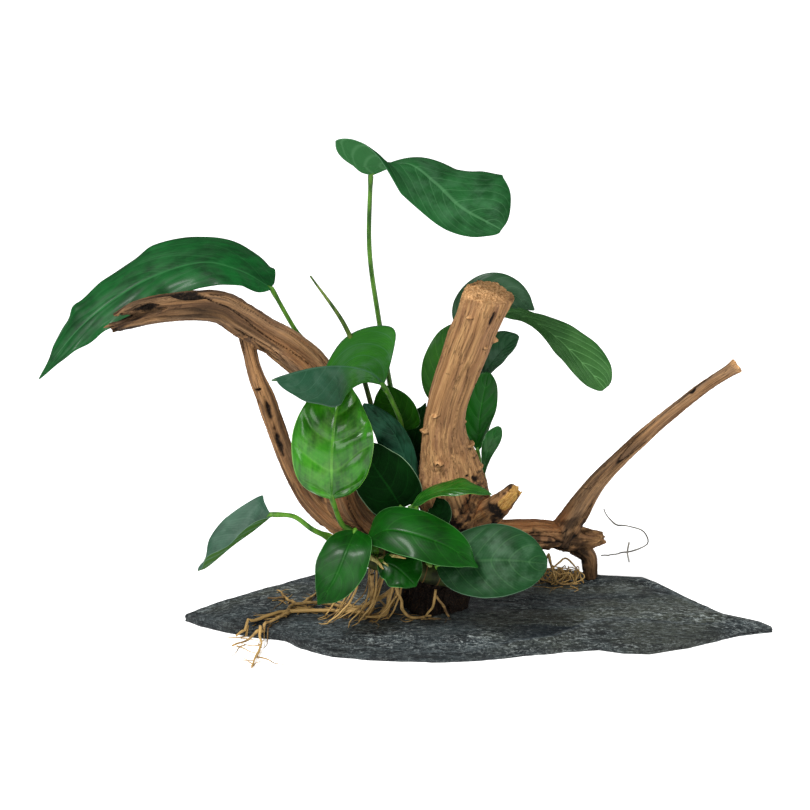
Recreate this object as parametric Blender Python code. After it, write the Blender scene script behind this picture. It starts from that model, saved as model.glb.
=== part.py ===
"""An anubias plant growing on branching driftwood that stands on a slate slab.

Lengths and places below are in millimetres, and MM turns them into Blender's metres.
+Z is up. The origin is on the underside of the slab, near the middle of it, and -Y is the front.
"""

import math

import bmesh
import bpy
import numpy as np
from mathutils import Vector, noise
from mathutils.bvhtree import BVHTree

MM = 0.001

# Clearance between pieces that touch
GAP = 0.3

# Steps between two given points of a smooth path
CURVE_STEPS = 16

# Edges that turn more sharply than this stay crisp, in degrees
CREASE_ANGLE = 50

# Slate slab: its edge seen from above, from the left tip along the front and back behind.
# The ledge is a share of the edge's height, and the flat middle a share of the slab's outline.
SLAB_TOP = 9.0
SLAB_UNDERCUT = 0.4
SLAB_LEDGE = 0.55
SLAB_MIDDLE = 0.8
SLAB_MIDDLE_SHIFT = 2
SLAB_SIDEWAYS_INSET = 0.2
SLAB_EDGE = (
    # x, y, height of the top edge, how far that edge lies inside the bottom one
    (-152, 0, 4, 1.0),
    (-143, -8, 5, 1.0),
    (-128, -17, 6, 0.5),
    (-113, -24, 6, 0.8),
    (-98, -28, 6, 0.8),
    (-90, -38, 6, 1.5),
    (-74, -49, 5, 3.0),
    (-57, -53, 5, 4.0),
    (-40, -55, 4, 4.0),
    (-20, -56, 4, 4.0),
    (-1, -54, 5, 4.0),
    (19, -49, 7, 5.0),
    (39, -44, 8, 6.0),
    (59, -40, 9, 17.0),
    (71, -45, 9, 27.0),
    (83, -46, 9, 30.0),
    (104, -38, 8, 20.0),
    (129, -23, 6, 6.0),
    (142, -18, 4, 2.0),
    (150, -16, 3, 0.5),
    (145, -11, 4, 1.0),
    (128, -5, 6, 1.5),
    (112, 14, 8, 2.0),
    (97, 36, 9, 2.0),
    (90, 44, 9, 2.0),
    (68, 47, 9, 1.5),
    (47, 57, 9, 2.0),
    (3, 62, 9, 2.0),
    (-40, 62, 9, 2.0),
    (-83, 51, 9, 2.0),
    (-99, 38, 9, 2.0),
    (-119, 24, 8, 2.0),
    (-138, 12, 6, 1.5),
)

# Driftwood: the middle line of each limb as x, y, z, radius
STANDING_HEIGHT = SLAB_TOP + GAP
WOOD_LUMPS = 0.12
LUMP_SIZE = 12
WOOD = {
    "driftwood_trunk": (
        (-7, 3, 48, 15),
        (-10, 1, 60, 15.5),
        (-15, -1, 75, 17.5),
        (-16, -4, 87, 15),
        (-18, -8, 102, 11.3),
        (-16, -14, 120, 10),
        (-11, -20, 138, 10),
        (-7, -24, 151, 10.7),
        (-3, -28, 163, 10.8),
        (2, -33, 180, 12),
    ),
    "driftwood_base": (
        (-9, 2, 55, 15),
        (-14, 1, 38, 17),
        (-21, 1, 22, 16),
        (-24, 2, STANDING_HEIGHT, 17),
    ),
    "driftwood_stub": ((-1, -4, 57, 6.5), (8, -12, 66, 5.5), (17, -18, 77, 3.5)),
    "driftwood_arch": (
        (-22, -3, 38, 12),
        (-48, -4, 46, 11.5),
        (-65, -1, 61, 11),
        (-72, 3, 89, 10.5),
        (-77, 6, 115, 10),
        (-84, 8, 131, 9.5),
        (-95, 7, 142, 9),
        (-107, 6, 150, 8),
        (-119.5, 4, 158.5, 8.2),
        (-131, 2, 165, 7.7),
        (-151, 0, 165.5, 7),
        (-168, -2, 163, 6),
        (-183, -4, 157, 3.5),
    ),
    "driftwood_strut": (
        (-117, 5, 150, 3.5),
        (-112, 4, 131, 4),
        (-106.5, 3, 117, 5),
        (-102, 2, 102, 5),
        (-94.5, 0, 82, 4.7),
        (-86, -2, 67, 5),
        (-74, -4, 55, 5),
        (-62, -4, 50, 5),
    ),
    "driftwood_arm": (
        (2, 4, 44, 9),
        (19, 15, 42, 8),
        (36, 26, 38, 7.5),
        (52, 34, 33, 7),
        (61, 34, 33, 5),
        (67, 33, 34, 3),
    ),
    "driftwood_foot": ((54, 36, 29, 6), (60, 38, 22, 4.5), (62, 40, STANDING_HEIGHT, 3.5)),
    "driftwood_branch": (
        (43, 30, 34, 8),
        (54, 32, 52, 6.2),
        (66, 30, 70, 4.6),
        (91, 27, 96, 3.6),
        (114, 24, 117, 3.1),
        (127, 22, 127, 3.1),
        (132, 22, 130.5, 3.9),
    ),
}
# Each limb is cut to the shape of the limbs that it grows from
GROWS_FROM = {
    "driftwood_base": ("driftwood_trunk",),
    "driftwood_stub": ("driftwood_trunk", "driftwood_base"),
    "driftwood_arch": ("driftwood_trunk", "driftwood_base"),
    "driftwood_strut": ("driftwood_arch", "driftwood_base"),
    "driftwood_arm": ("driftwood_trunk", "driftwood_base"),
    "driftwood_foot": ("driftwood_arm",),
    "driftwood_branch": ("driftwood_arm",),
}
STANDS_ON_SLAB = ("driftwood_base", "driftwood_foot")
LIMB_SIDES = 10
THICK_LIMB_SIDES = 14
THICK_LIMBS = ("driftwood_trunk", "driftwood_base")
WOOD_STATIONS = {
    "driftwood_trunk": 13,
    "driftwood_base": 6,
    "driftwood_stub": 6,
    "driftwood_arch": 18,
    "driftwood_strut": 12,
    "driftwood_arm": 8,
    "driftwood_foot": 5,
    "driftwood_branch": 10,
}

# Rhizomes: the creeping stems that carry the leaves and hold to the wood
RHIZOME_RADIUS = 5.5
RHIZOME_STATIONS = 8
RHIZOME_SIDES = 9
RHIZOMES = {
    "rhizome_front": ((-70, -19, 48), (-52, -22, 42), (-30, -22, 36), (-10, -20, 30)),
    "rhizome_back": ((-50, 22, 34), (-24, 25, 32), (10, 30, 30)),
}

# Leaves: a blade along its midrib, on a stem that leaves the rhizome at share "at"
BLADE_THICKNESS = 0.8
BLADE_STATIONS = 10
BLADE_ACROSS = (-1.0, -0.5, 0.0, 0.5, 1.0)
# The first and last cross-sections lie this share of the length inside the base and the tip
BLADE_END = 0.015
# Lower values make the blade's outline fuller
BLADE_POINTEDNESS = 0.75
# The heart-shaped lobes take up this share of the length
LOBE_SHARE = 0.4
FINE_STEPS = 200
STEM_SIDES = 5
STEM_RADIUS = 1.5
STEM_TIP_RADIUS = 1.1
STEM_CLEARANCE = 1.5
STEM_RISE = 5.0


class Leaf:
    """One leaf: where its stem grows from, the way the stem takes, and the shape of the blade."""

    def __init__(self, name, colour, rhizome, at, leaves, stem, rib, face, half, fold=((0, 0),),
                 widest=(0.45, 0.45), lobe=(4, 4), lobe_rise=(0, 0)):
        self.name = name
        self.colour = colour
        self.rhizome = rhizome
        self.at = at
        self.leaves = leaves
        self.stem = stem
        self.rib = rib
        self.face = face
        self.half = half
        self.fold = fold
        self.widest = widest
        self.lobe = lobe
        self.lobe_rise = lobe_rise


# "at" is the share along the rhizome, "leaves" the way the stem sets out and "stem" what it passes.
# The midrib runs from the blade's base to its tip, and "face" is where the upper side looks on the way.
# Pairs are for the left and the right half: "half" is its width and "widest" the share of the length
# where it is widest. "fold" has the degrees by which the halves rise from the midrib, on the way from
# base to tip. "lobe" is how far the heart shape reaches back, and "lobe_rise" how far it rises there.
LEAVES = (
    Leaf("top", "mid", "rhizome_back", 0.45, (0, 0, 1),
         ((-36, 26, 74), (-44, 22, 114), (-51, 15, 158), (-55, 4, 194)),
         ((-54, -5, 232), (-44, -12, 237), (-34, -20, 238), (-22, -31, 230), (-11, -42, 221), (7, -54, 213)),
         ((-0.3, -0.3, 1), (-0.2, -0.4, 0.9), (-0.2, -0.7, 0.65), (-0.2, -0.75, 0.6)),
         (32, 15), ((-60, 8), (-32, -5), (-12, -10), (0, -15)), (0.63, 0.42), (16, 24), (4, 14)),
    Leaf("over_arch", "deep", "rhizome_back", 0.03, (-0.4, 0.3, 1),
         ((-68, 27, 85), (-83, 27, 132), (-94, 27, 149)),
         ((-105, 28, 169), (-122, 30, 178), (-142, 31, 181.5), (-171, 28, 172), (-200, 20, 152),
          (-222, 9, 126)),
         ((0, -0.3, 1), (0, -0.5, 1), (-0.1, -0.6, 0.9), (-0.3, -0.7, 0.7)),
         (16, 22), ((0, 20), (0, 0)), (0.4, 0.33), (6, 8)),
    Leaf("folded", "blue", "rhizome_front", 0.48, (0, -0.1, 1),
         ((-40, -19, 58), (-42, -9, 72), (-42, -4, 85), (-39, -4, 104), (-44, -12, 121)),
         ((-48, -18, 130), (-55, -24, 138), (-66, -32, 143), (-80, -43, 145), (-98, -60, 144)),
         ((0.8, -0.8, 0), (0.4, -0.7, 0.5), (0, -0.4, 0.9), (-0.1, -0.35, 0.9), (-0.1, -0.35, 0.9)),
         (20, 38), ((-38, -14), (-40, -74), (-38, -66), (-38, -38), (-38, -28)), (0.62, 0.12),
         (0, 2), (0, 4)),
    Leaf("bright", "bright", "rhizome_front", 0.1, (0, -0.3, 1),
         ((-69, -26, 62),),
         ((-73, -34, 77), (-73, -36, 98), (-71, -30, 118), (-66, -16, 133)),
         ((0, -1, 0.1), (0, -1, 0.1), (0, -1, 0.2)), (20, 20), ((5, 5),)),
    Leaf("low_left", "blue", "rhizome_front", 0.02, (-0.6, -0.5, 0.6),
         ((-83, -33, 61), (-92, -34, 68)),
         ((-103, -34, 69), (-112, -36, 62), (-122, -38, 55), (-134, -40, 45), (-139, -40, 42)),
         ((0, -0.3, 1), (-0.2, -0.2, 1), (-0.4, -0.2, 0.9)),
         (6, 14), ((40, 40), (62, 40), (62, 40)), (0.45, 0.35), (3, 10), (0, 2)),
    Leaf("front_left", "mid", "rhizome_front", 0.2, (-0.1, -0.7, 0.7),
         ((-61, -27, 54),),
         ((-62, -31, 60), (-66, -42, 53), (-72, -48, 40), (-80, -50, 28)),
         ((-0.2, -0.6, 0.8), (-0.3, -0.9, 0.3), (-0.3, -0.9, 0.2)), (13, 13), ((5, 5),)),
    Leaf("front_middle", "mid", "rhizome_front", 0.3, (0, -0.7, 0.7),
         ((-54, -31, 50),),
         ((-56, -35, 56), (-46, -40, 63), (-30, -46, 62), (-15, -50, 57), (-2, -52, 48)),
         ((-0.3, -0.5, 0.8), (0, -0.6, 0.8), (0.4, -0.7, 0.6)), (15, 12), ((10, -5),), (0.4, 0.5)),
    Leaf("front_low", "mid", "rhizome_front", 0.38, (0, -0.9, 0.2),
         (),
         ((-50, -34, 45), (-42, -38, 43), (-32, -43, 35)),
         ((0, -0.6, 0.8), (0.1, -0.8, 0.6), (0.3, -0.8, 0.5)), (12, 9), ((0, 0),), (0.6, 0.5), (2, 2)),
    Leaf("front_right", "deep", "rhizome_front", 0.93, (0, -0.9, 0.4),
         ((-17, -30, 37),),
         ((-22, -33, 42), (-8, -38, 46), (11, -44, 49), (32, -44, 47)),
         ((0.1, -0.7, 0.7), (0.1, -0.8, 0.55), (0.1, -0.8, 0.55)), (19, 19), ((4, 4),), (0.5, 0.5)),
    Leaf("dark_middle", "dark", "rhizome_front", 0.58, (0, -0.5, 0.9),
         ((-36, -24, 55),),
         ((-39, -18, 67), (-45, -21, 78), (-52, -22, 89), (-59, -23, 102)),
         ((-0.1, -1, 0.1), (-0.1, -1, 0.2), (-0.1, -1, 0.2)), (15, 15), ((0, 0),), (0.4, 0.4), (6, 6)),
    Leaf("dark_curled", "blue", "rhizome_front", 0.66, (0, -0.1, 1),
         ((-30, -23, 50),),
         ((-32, -17, 69), (-35, -12, 82), (-39, -11, 96), (-46, -14, 109), (-58, -18, 121)),
         ((0.1, -1, 0), (0.1, -1, 0), (0.3, -0.8, 0.5)), (10, 6), ((0, 20),), (0.5, 0.5)),
    Leaf("olive", "olive", "rhizome_back", 0.22, (0, -0.2, 1),
         ((-40, 16, 55), (-40, 7, 80)),
         ((-38, 2, 101), (-42, 2, 112), (-49, 5, 125)),
         ((0, -1, 0.1), (0, -1, 0.1)), (12, 10), ((0, 0),), (0.45, 0.35)),
    Leaf("trunk_left_low", "dark", "rhizome_back", 0.34, (0, -0.1, 1),
         ((-33, 20, 55),),
         ((-35, 11, 76), (-33, 12, 94), (-27, 14, 113)),
         ((0.4, -0.9, 0.1), (0.4, -0.9, 0.1)), (9, 8), ((0, 0),), (0.45, 0.45), (2, 2)),
    Leaf("trunk_left_high", "mid", "rhizome_back", 0.52, (0, 0.2, 1),
         ((-25, 28, 70),),
         ((-22, 22, 110), (-20, 24, 127), (-12, 26, 151)),
         ((0, -1, 0), (0, -1, 0)), (9.5, 8), ((0, 0),), (0.5, 0.5), (2, 2)),
    Leaf("trunk_top", "deep", "rhizome_back", 0.6, (0, 0.2, 1),
         ((-13, 30, 80), (-9, 30, 120)),
         ((-6, 24, 148), (-3, 25, 160), (5, 26, 167), (16, 25, 167), (28, 22, 159)),
         ((-0.3, -1, 0.1), (-0.1, -0.9, 0.4), (0.2, -0.8, 0.5)), (7, 10), ((0, 0),), (0.4, 0.4)),
    Leaf("right_long", "mid", "rhizome_back", 0.68, (0, 0.2, 1),
         ((-4, 33, 80), (0, 29, 130)),
         ((4, 24, 157), (16, 20, 158), (28, 14, 154), (38, 8, 148), (49, 3, 138), (62, -4, 124.5)),
         ((0.2, -0.7, 0.6), (0.3, -0.8, 0.6), (0.3, -0.9, 0.3)), (14, 7), ((0, 0),), (0.71, 0.74), (3, 3)),
    Leaf("right_high", "dark", "rhizome_back", 0.77, (0, 0.2, 1),
         ((3, 34, 70), (4, 36, 100)),
         ((0, 33, 118), (11, 34, 134), (21, 35, 143)),
         ((0.2, -1, 0.1), (0.2, -1, 0.1)), (10, 5), ((0, 0),), (0.6, 0.6), (2, 2)),
    Leaf("right_middle", "mid", "rhizome_back", 0.86, (0, 0.3, 1),
         ((4, 31, 60),),
         ((0, 24, 84), (1, 24, 104), (5, 25, 126)),
         ((0, -1, 0), (0, -1, 0)), (10, 8), ((0, 0),), (0.6, 0.6), (2, 2)),
    Leaf("right_low", "mid", "rhizome_back", 0.95, (0, 0, 1),
         ((8, 26, 50),),
         ((3, 17, 72), (5, 17, 86), (11, 19, 99)),
         ((0, -1, 0.1), (0, -1, 0.1)), (4.5, 4), ((0, 0),), (0.7, 0.7), (1, 1)),
    Leaf("trunk_front", "mid", "rhizome_front", 0.74, (0, -0.4, 0.9),
         ((-29, -29, 52),),
         ((-35, -26, 70), (-25, -30, 78), (-11, -34, 82), (5, -36, 80)),
         ((0, -0.3, 1), (0, -0.3, 1)), (10, 5), ((5, 5),), (0.5, 0.5), (2, 2)),
    Leaf("small_inner", "dark", "rhizome_front", 0.84, (0, -0.2, 1),
         ((-21, -26, 46),),
         ((-24, -26, 56), (-20, -24, 68), (-22, -22, 74)),
         ((0, -1, 0.2), (0, -1, 0.2)), (6, 6), ((0, 0),), (0.5, 0.5), (1, 1)),
)

# The newest leaf, still rolled up into a thin spear
SPEAR_STATIONS = 12
SPEAR = (
    (-45, 20, 40.5, 1.6),
    (-46, 17, 60, 1.6),
    (-48, 12, 83, 1.5),
    (-58, 12, 125, 1.3),
    (-67, 10, 152.7, 1.2),
    (-84, 6, 179.4, 0.5),
)

# Roots: the middle line of each strand as x, y, height above the slab or the floor, radius
ROOTS = {
    "roots_front": (
        (
            (-54, -22, 25, 1.6),
            (-54, -20, 12, 1.6),
            (-55, -15, 2.3, 1.6),
            (-65, -9, 2.1, 1.6),
            (-82, -3, 2.1, 1.5),
            (-95, -4, 2.1, 1.4),
            (-97, -14, 2.2, 1.4),
            (-107, -23, 2.8, 1.2),
            (-111, -27.5, 6.0, 1.1),
            (-116, -32, 2.5, 0.9),
            (-124, -36, 1.2, 0.6),
        ),
        (
            (-110, -26, 7.6, 1.1),
            (-110, -31, 4, 1.0),
            (-109, -41, 1.4, 0.9),
            (-112, -62, 1.2, 0.6),
        ),
        (
            (-60, -14, 2.2, 1.4),
            (-74, -11, 2.0, 1.4),
            (-94, -11, 2.0, 1.3),
            (-111, -17, 2.2, 1.2),
            (-118, -22, 3.8, 1.0),
            (-122, -26, 2.4, 0.7),
        ),
        ((-93, -3, 2.0, 1.2), (-98, 4, 1.9, 1.0), (-102, 14, 1.6, 0.8), (-104, 19, 1.4, 0.5)),
        ((-100, 8, 1.7, 0.9), (-109, 8, 1.5, 0.5)),
        ((-90, -3, 2.0, 1.0), (-86, 8, 1.6, 0.8), (-83, 21, 1.3, 0.5)),
    ),
    "roots_bunch": (
        ((-43, -21, 22.5, 1.6), (-46, -14, 12, 1.4), (-60, -7, 2.6, 1.2), (-72, -1, 1.6, 0.8)),
        ((-43, -21, 22.5, 1.6), (-45, -17, 11, 1.4), (-48, -19, 2.2, 1.3), (-58, -20, 1.8, 0.8)),
        ((-43, -21, 22.5, 1.6), (-42, -14, 11, 1.3), (-46, -8, 2.0, 1.2), (-50, 2, 1.6, 0.7)),
        ((-43, -21, 22.5, 1.6), (-40, -22, 11, 1.2), (-36, -21, 1.9, 1.0), (-24, -20.5, 1.7, 0.8)),
        ((-27, -20.5, 1.7, 0.9), (-23, -21, 9, 0.9), (-22, -21, 16, 0.9)),
        ((-22, -21, 13, 0.9), (-18, -21, 7, 0.9), (-15, -21, 1.7, 0.7)),
    ),
    "roots_back": (
        ((38, 27, 19.5, 1.6), (36, 33, 10, 1.2), (33, 40, 1.8, 1.0), (26, 44, 1.4, 0.6)),
        ((38, 27, 19.5, 1.6), (41, 34, 9, 1.2), (46, 40, 1.8, 1.0), (54, 45, 1.4, 0.6)),
        ((38, 27, 19.5, 1.6), (40, 26, 10, 1.2), (44, 28, 2.0, 1.0), (54, 31, 1.6, 0.6)),
        ((41, 34, 9, 1.0), (47, 36, 14, 0.9), (53, 36, 8, 0.9), (57, 33, 1.6, 0.7)),
    ),
    "root_loop": (
        (
            (66.5, 35, 15, 0.9),
            (74, 27, 19, 0.9),
            (83, 25, 21.5, 0.9),
            (89, 25, 25, 0.9),
            (88, 25, 31, 0.9),
            (81, 26, 34, 0.9),
            (73, 28, 35, 0.9),
            (69, 30, 38, 0.9),
            (67, 31, 43, 0.7),
        ),
    ),
}
ROOT_SIDES = 5

# Colours as they look in daylight: red, green, blue, roughness
COLOURS = {
    "slate": (0.075, 0.085, 0.095, 0.62),
    "driftwood": (0.46, 0.27, 0.14, 0.75),
    "driftwood_dark": (0.17, 0.085, 0.055, 0.8),
    "rhizome": (0.12, 0.17, 0.05, 0.6),
    "stem": (0.045, 0.17, 0.02, 0.4),
    "root": (0.55, 0.37, 0.16, 0.7),
    "root_grey": (0.2, 0.16, 0.11, 0.7),
    "leaf_mid": (0.02, 0.16, 0.03, 0.35),
    "leaf_deep": (0.015, 0.11, 0.045, 0.33),
    "leaf_blue": (0.03, 0.13, 0.09, 0.33),
    "leaf_dark": (0.006, 0.05, 0.025, 0.35),
    "leaf_olive": (0.045, 0.13, 0.012, 0.4),
    "leaf_bright": (0.08, 0.4, 0.015, 0.28),
}


def clear_scene():
    for thing in list(bpy.data.objects):
        bpy.data.objects.remove(thing)


def material(name, colour):
    """A matte Principled BSDF in one of the named colours."""
    made = bpy.data.materials.new(name)
    made.use_nodes = True
    *rgb, roughness = COLOURS[colour]
    shader = made.node_tree.nodes["Principled BSDF"]
    shader.inputs["Base Color"].default_value = (*rgb, 1)
    shader.inputs["Roughness"].default_value = roughness
    shader.inputs["Metallic"].default_value = 0
    made.diffuse_color = (*rgb, 1)
    return made


def smooth_path(points, count):
    """Evenly spaced stations along a Catmull-Rom curve through the points, with their further values."""
    points = np.array(points, float)
    padded = np.vstack([2 * points[0] - points[1], points, 2 * points[-1] - points[-2]])
    curve = []
    for a, b, c, d in zip(padded, padded[1:], padded[2:], padded[3:]):
        for t in np.arange(CURVE_STEPS) / CURVE_STEPS:
            bend = (c - a) * t + (2 * a - 5 * b + 4 * c - d) * t**2 + (3 * b - a - 3 * c + d) * t**3
            curve.append(b + bend / 2)
    curve.append(points[-1])
    curve = np.array(curve)
    lengths = np.linalg.norm(np.diff(curve[:, :3], axis=0), axis=1)
    along = np.concatenate([[0], np.cumsum(lengths)])
    wanted = np.linspace(0, along[-1], count)
    return np.column_stack([np.interp(wanted, along, column) for column in curve.T])


def unit(vector):
    return vector / np.linalg.norm(vector)


def loft(name, rings, colour, thin=False):
    """A closed solid whose skin runs over rings of equally many points, with a flat cap at each end.

    The faces of a thin blade are split in two, and those of its underside the other way round,
    so that both sides bend along the same lines.
    """
    mesh = bmesh.new()
    rows = [[mesh.verts.new(Vector(point) * MM) for point in ring] for ring in rings]
    for row, following in zip(rows, rows[1:]):
        for i in range(len(row)):
            after = (i + 1) % len(row)
            corners = [row[i], row[after], following[after], following[i]]
            if not thin:
                mesh.faces.new(corners)
                continue
            if i >= len(row) // 2:
                corners = corners[1:] + corners[:1]
            mesh.faces.new(corners[:3])
            mesh.faces.new((corners[0], corners[2], corners[3]))
    mesh.faces.new(rows[0][::-1])
    mesh.faces.new(rows[-1])
    bmesh.ops.recalc_face_normals(mesh, faces=mesh.faces)
    return finish(name, mesh, colour)


def finish(name, mesh, colour):
    data = bpy.data.meshes.new(name)
    mesh.to_mesh(data)
    mesh.free()
    data.materials.append(material(name, colour))
    data.shade_smooth()
    data.set_sharp_from_angle(angle=math.radians(CREASE_ANGLE))
    made = bpy.data.objects.new(name, data)
    bpy.context.scene.collection.objects.link(made)
    return made


def tube_rings(path, sides, lumps=0.0, grow=0.0):
    """Rings round a path of x, y, z, radius that turn as little as they can on the way."""
    tangents = [unit(tangent) for tangent in np.gradient(path[:, :3], axis=0)]
    side = np.zeros(3)
    side[np.argmin(np.abs(tangents[0]))] = 1
    last = len(path) - 1
    rings = []
    for station, (place, tangent) in enumerate(zip(path, tangents)):
        side = unit(side - tangent * (side @ tangent))
        other = np.cross(tangent, side)
        centre = place[:3] + tangent * grow * ((station == last) - (station == 0))
        ring = []
        for i in range(sides):
            turn = math.tau * i / sides
            outward = side * math.cos(turn) + other * math.sin(turn)
            bump = 1 + lumps * noise.noise(Vector((place[:3] + 3 * place[3] * outward) / LUMP_SIZE))
            ring.append(centre + outward * (place[3] * bump + grow))
        rings.append(ring)
    return rings


def limb_rings(name, grow=0.0):
    """Rings of a driftwood limb, with its foot cut flat where it stands on the slab."""
    path = smooth_path(WOOD[name], WOOD_STATIONS[name])
    sides = THICK_LIMB_SIDES if name in THICK_LIMBS else LIMB_SIDES
    rings = tube_rings(path, sides, WOOD_LUMPS, grow)
    if name in STANDS_ON_SLAB:
        for point in rings[-1]:
            point[2] = STANDING_HEIGHT
    return rings


def cut_to(made, neighbours):
    """Cuts a piece to the shape of its neighbours, with the usual clearance."""
    for neighbour in neighbours:
        cutter = loft("clearance_of_" + neighbour, limb_rings(neighbour, GAP), "driftwood")
        cutter.hide_render = True
        cutter.display_type = "WIRE"
        cut = made.modifiers.new("cut to " + neighbour, "BOOLEAN")
        cut.operation = "DIFFERENCE"
        cut.use_self = True
        cut.object = cutter


def build_slab():
    """The slate slab: an undercut lower edge, a ledge, the top edge and a flat middle to stand on."""
    bottom, ledge, top, middle = [], [], [], []
    for x, y, height, inset in SLAB_EDGE:
        inward = unit(np.array([-SLAB_SIDEWAYS_INSET * x, -y, 0]))
        edge = np.array([x, y, 0])
        bottom.append(edge + inward * SLAB_UNDERCUT)
        ledge.append(edge + (0, 0, height * SLAB_LEDGE))
        top.append(edge + inward * inset + (0, 0, height))
        middle.append((edge + inward * inset) * SLAB_MIDDLE + (0, SLAB_MIDDLE_SHIFT, SLAB_TOP))
    return loft("slate_slab", (bottom, ledge, top, middle), "slate")


def build_wood():
    for name in WOOD:
        colour = "driftwood_dark" if name in ("driftwood_base", "driftwood_foot") else "driftwood"
        limb = loft(name, limb_rings(name), colour)
        cut_to(limb, GROWS_FROM.get(name, ()))


def rhizome_path(name, count):
    points = [(*point, RHIZOME_RADIUS) for point in RHIZOMES[name]]
    return smooth_path(points, count)


def build_rhizomes():
    for name in RHIZOMES:
        path = rhizome_path(name, RHIZOME_STATIONS)
        rhizome = loft(name, tube_rings(path, RHIZOME_SIDES, WOOD_LUMPS), "rhizome")
        cut_to(rhizome, ("driftwood_base", "driftwood_arch"))


def build_stem(leaf):
    """A leaf's stem, from just outside the rhizome to just short of the blade."""
    axis = rhizome_path(leaf.rhizome, FINE_STEPS + 1)
    heart = axis[round(leaf.at * FINE_STEPS)][:3]
    outward = unit(np.array(leaf.leaves, float))
    reach = RHIZOME_RADIUS * (1 + WOOD_LUMPS) + GAP
    places = [heart + outward * reach, heart + outward * (reach + STEM_RISE)]
    places += [np.array(place, float) for place in leaf.stem]
    base = np.array(leaf.rib[0], float)
    places.append(base - unit(base - places[-1]) * STEM_CLEARANCE)
    radii = np.linspace(STEM_RADIUS, STEM_TIP_RADIUS, len(places))
    path = smooth_path(np.column_stack([places, radii]), 2 * len(places) - 2)
    return loft("leaf_" + leaf.name + "_stem", tube_rings(path, STEM_SIDES), "stem")


def blend(rows, share):
    """The values at a share of the way through evenly spaced rows of them."""
    rows = np.array(rows, float)
    keys = np.linspace(0, 1, len(rows))
    return np.array([np.interp(share, keys, column) for column in rows.T])


def blade_outline(share, widest):
    """Half-width of a blade as a share of its widest, from its base at 0 to its tip at 1."""
    shifted = share ** (math.log(0.5) / math.log(widest))
    return math.sin(math.pi * shifted) ** BLADE_POINTEDNESS


def blade_row(leaf, share, base, tangent):
    """Places across the blade, from the left margin over the midrib to the right one."""
    face = blend(leaf.face, share)
    normal = unit(face - tangent * (face @ tangent))
    right = np.cross(tangent, normal)
    near_base = math.sin(math.pi * min(share / LOBE_SHARE, 1))
    rises = np.radians(blend(leaf.fold, share))
    row = []
    for across in BLADE_ACROSS:
        is_right = across > 0
        rise = rises[int(is_right)]
        slope = right * math.copysign(math.cos(rise), across) + normal * math.sin(rise)
        width = leaf.half[is_right] * blade_outline(share, leaf.widest[is_right])
        lobe = normal * leaf.lobe_rise[is_right] - tangent * leaf.lobe[is_right]
        row.append(base + (slope * width + lobe * near_base) * abs(across))
    return row


def build_blade(leaf):
    """A leaf's blade: thin, folded along its midrib, with a heart-shaped base."""
    rib = smooth_path(leaf.rib, FINE_STEPS + 1)
    tangents = np.gradient(rib, axis=0)
    rows = []
    for station in range(BLADE_STATIONS):
        eased = (1 - math.cos(math.pi * station / (BLADE_STATIONS - 1))) / 2
        share = BLADE_END + (1 - 2 * BLADE_END) * eased
        index = round(share * FINE_STEPS)
        rows.append(blade_row(leaf, share, rib[index], unit(tangents[index])))
    middle = np.array(rows)
    skins = np.cross(np.gradient(middle, axis=1), np.gradient(middle, axis=0))
    skins *= BLADE_THICKNESS / 2 / np.linalg.norm(skins, axis=2, keepdims=True)
    rings = np.concatenate([middle + skins, (middle - skins)[:, ::-1]], axis=1)
    return loft("leaf_" + leaf.name, rings, "leaf_" + leaf.colour, thin=True)


def build_leaves():
    for leaf in LEAVES:
        build_stem(leaf)
        build_blade(leaf)


def ground_under(x, y, slab):
    """Height of the slab's top at a place, or of the floor beside the slab."""
    hit = slab.ray_cast(Vector((x, y, 100)) * MM, Vector((0, 0, -1)))[0]
    return hit.z / MM if hit else 0.0


def build_roots(slab_object):
    """Each tuft of roots is one solid: its strands run into one another."""
    slab = BVHTree.FromObject(slab_object, bpy.context.evaluated_depsgraph_get())
    for name, strands in ROOTS.items():
        first = None
        for number, strand in enumerate(strands):
            path = smooth_path(strand, 2 * len(strand) - 1)
            for place in path:
                place[2] += ground_under(place[0], place[1], slab)
            colour = "root_grey" if name == "root_loop" else "root"
            made = loft(name if first is None else f"{name}_{number}", tube_rings(path, ROOT_SIDES), colour)
            if first is None:
                first = made
                continue
            made.hide_render = True
            made.display_type = "WIRE"
            join = first.modifiers.new("join strand", "BOOLEAN")
            join.operation = "UNION"
            join.object = made


def build():
    clear_scene()
    slab = build_slab()
    build_wood()
    build_rhizomes()
    build_leaves()
    loft("new_leaf_spear", tube_rings(smooth_path(SPEAR, SPEAR_STATIONS), STEM_SIDES), "leaf_olive")
    build_roots(slab)


build()
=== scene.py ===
"""The looks of an anubias plant growing on branching driftwood that stands on a slate slab.

Lengths and places are in millimetres, as in the part's own source, and MM turns them into metres.
Midribs, stalks, limbs, roots and the slab's edge repeat the part's own points.
"""

import itertools
import math
from dataclasses import dataclass

import bmesh
import bpy
import numpy as np
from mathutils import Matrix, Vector
from mathutils.bvhtree import BVHTree
from mathutils.kdtree import KDTree


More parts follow.
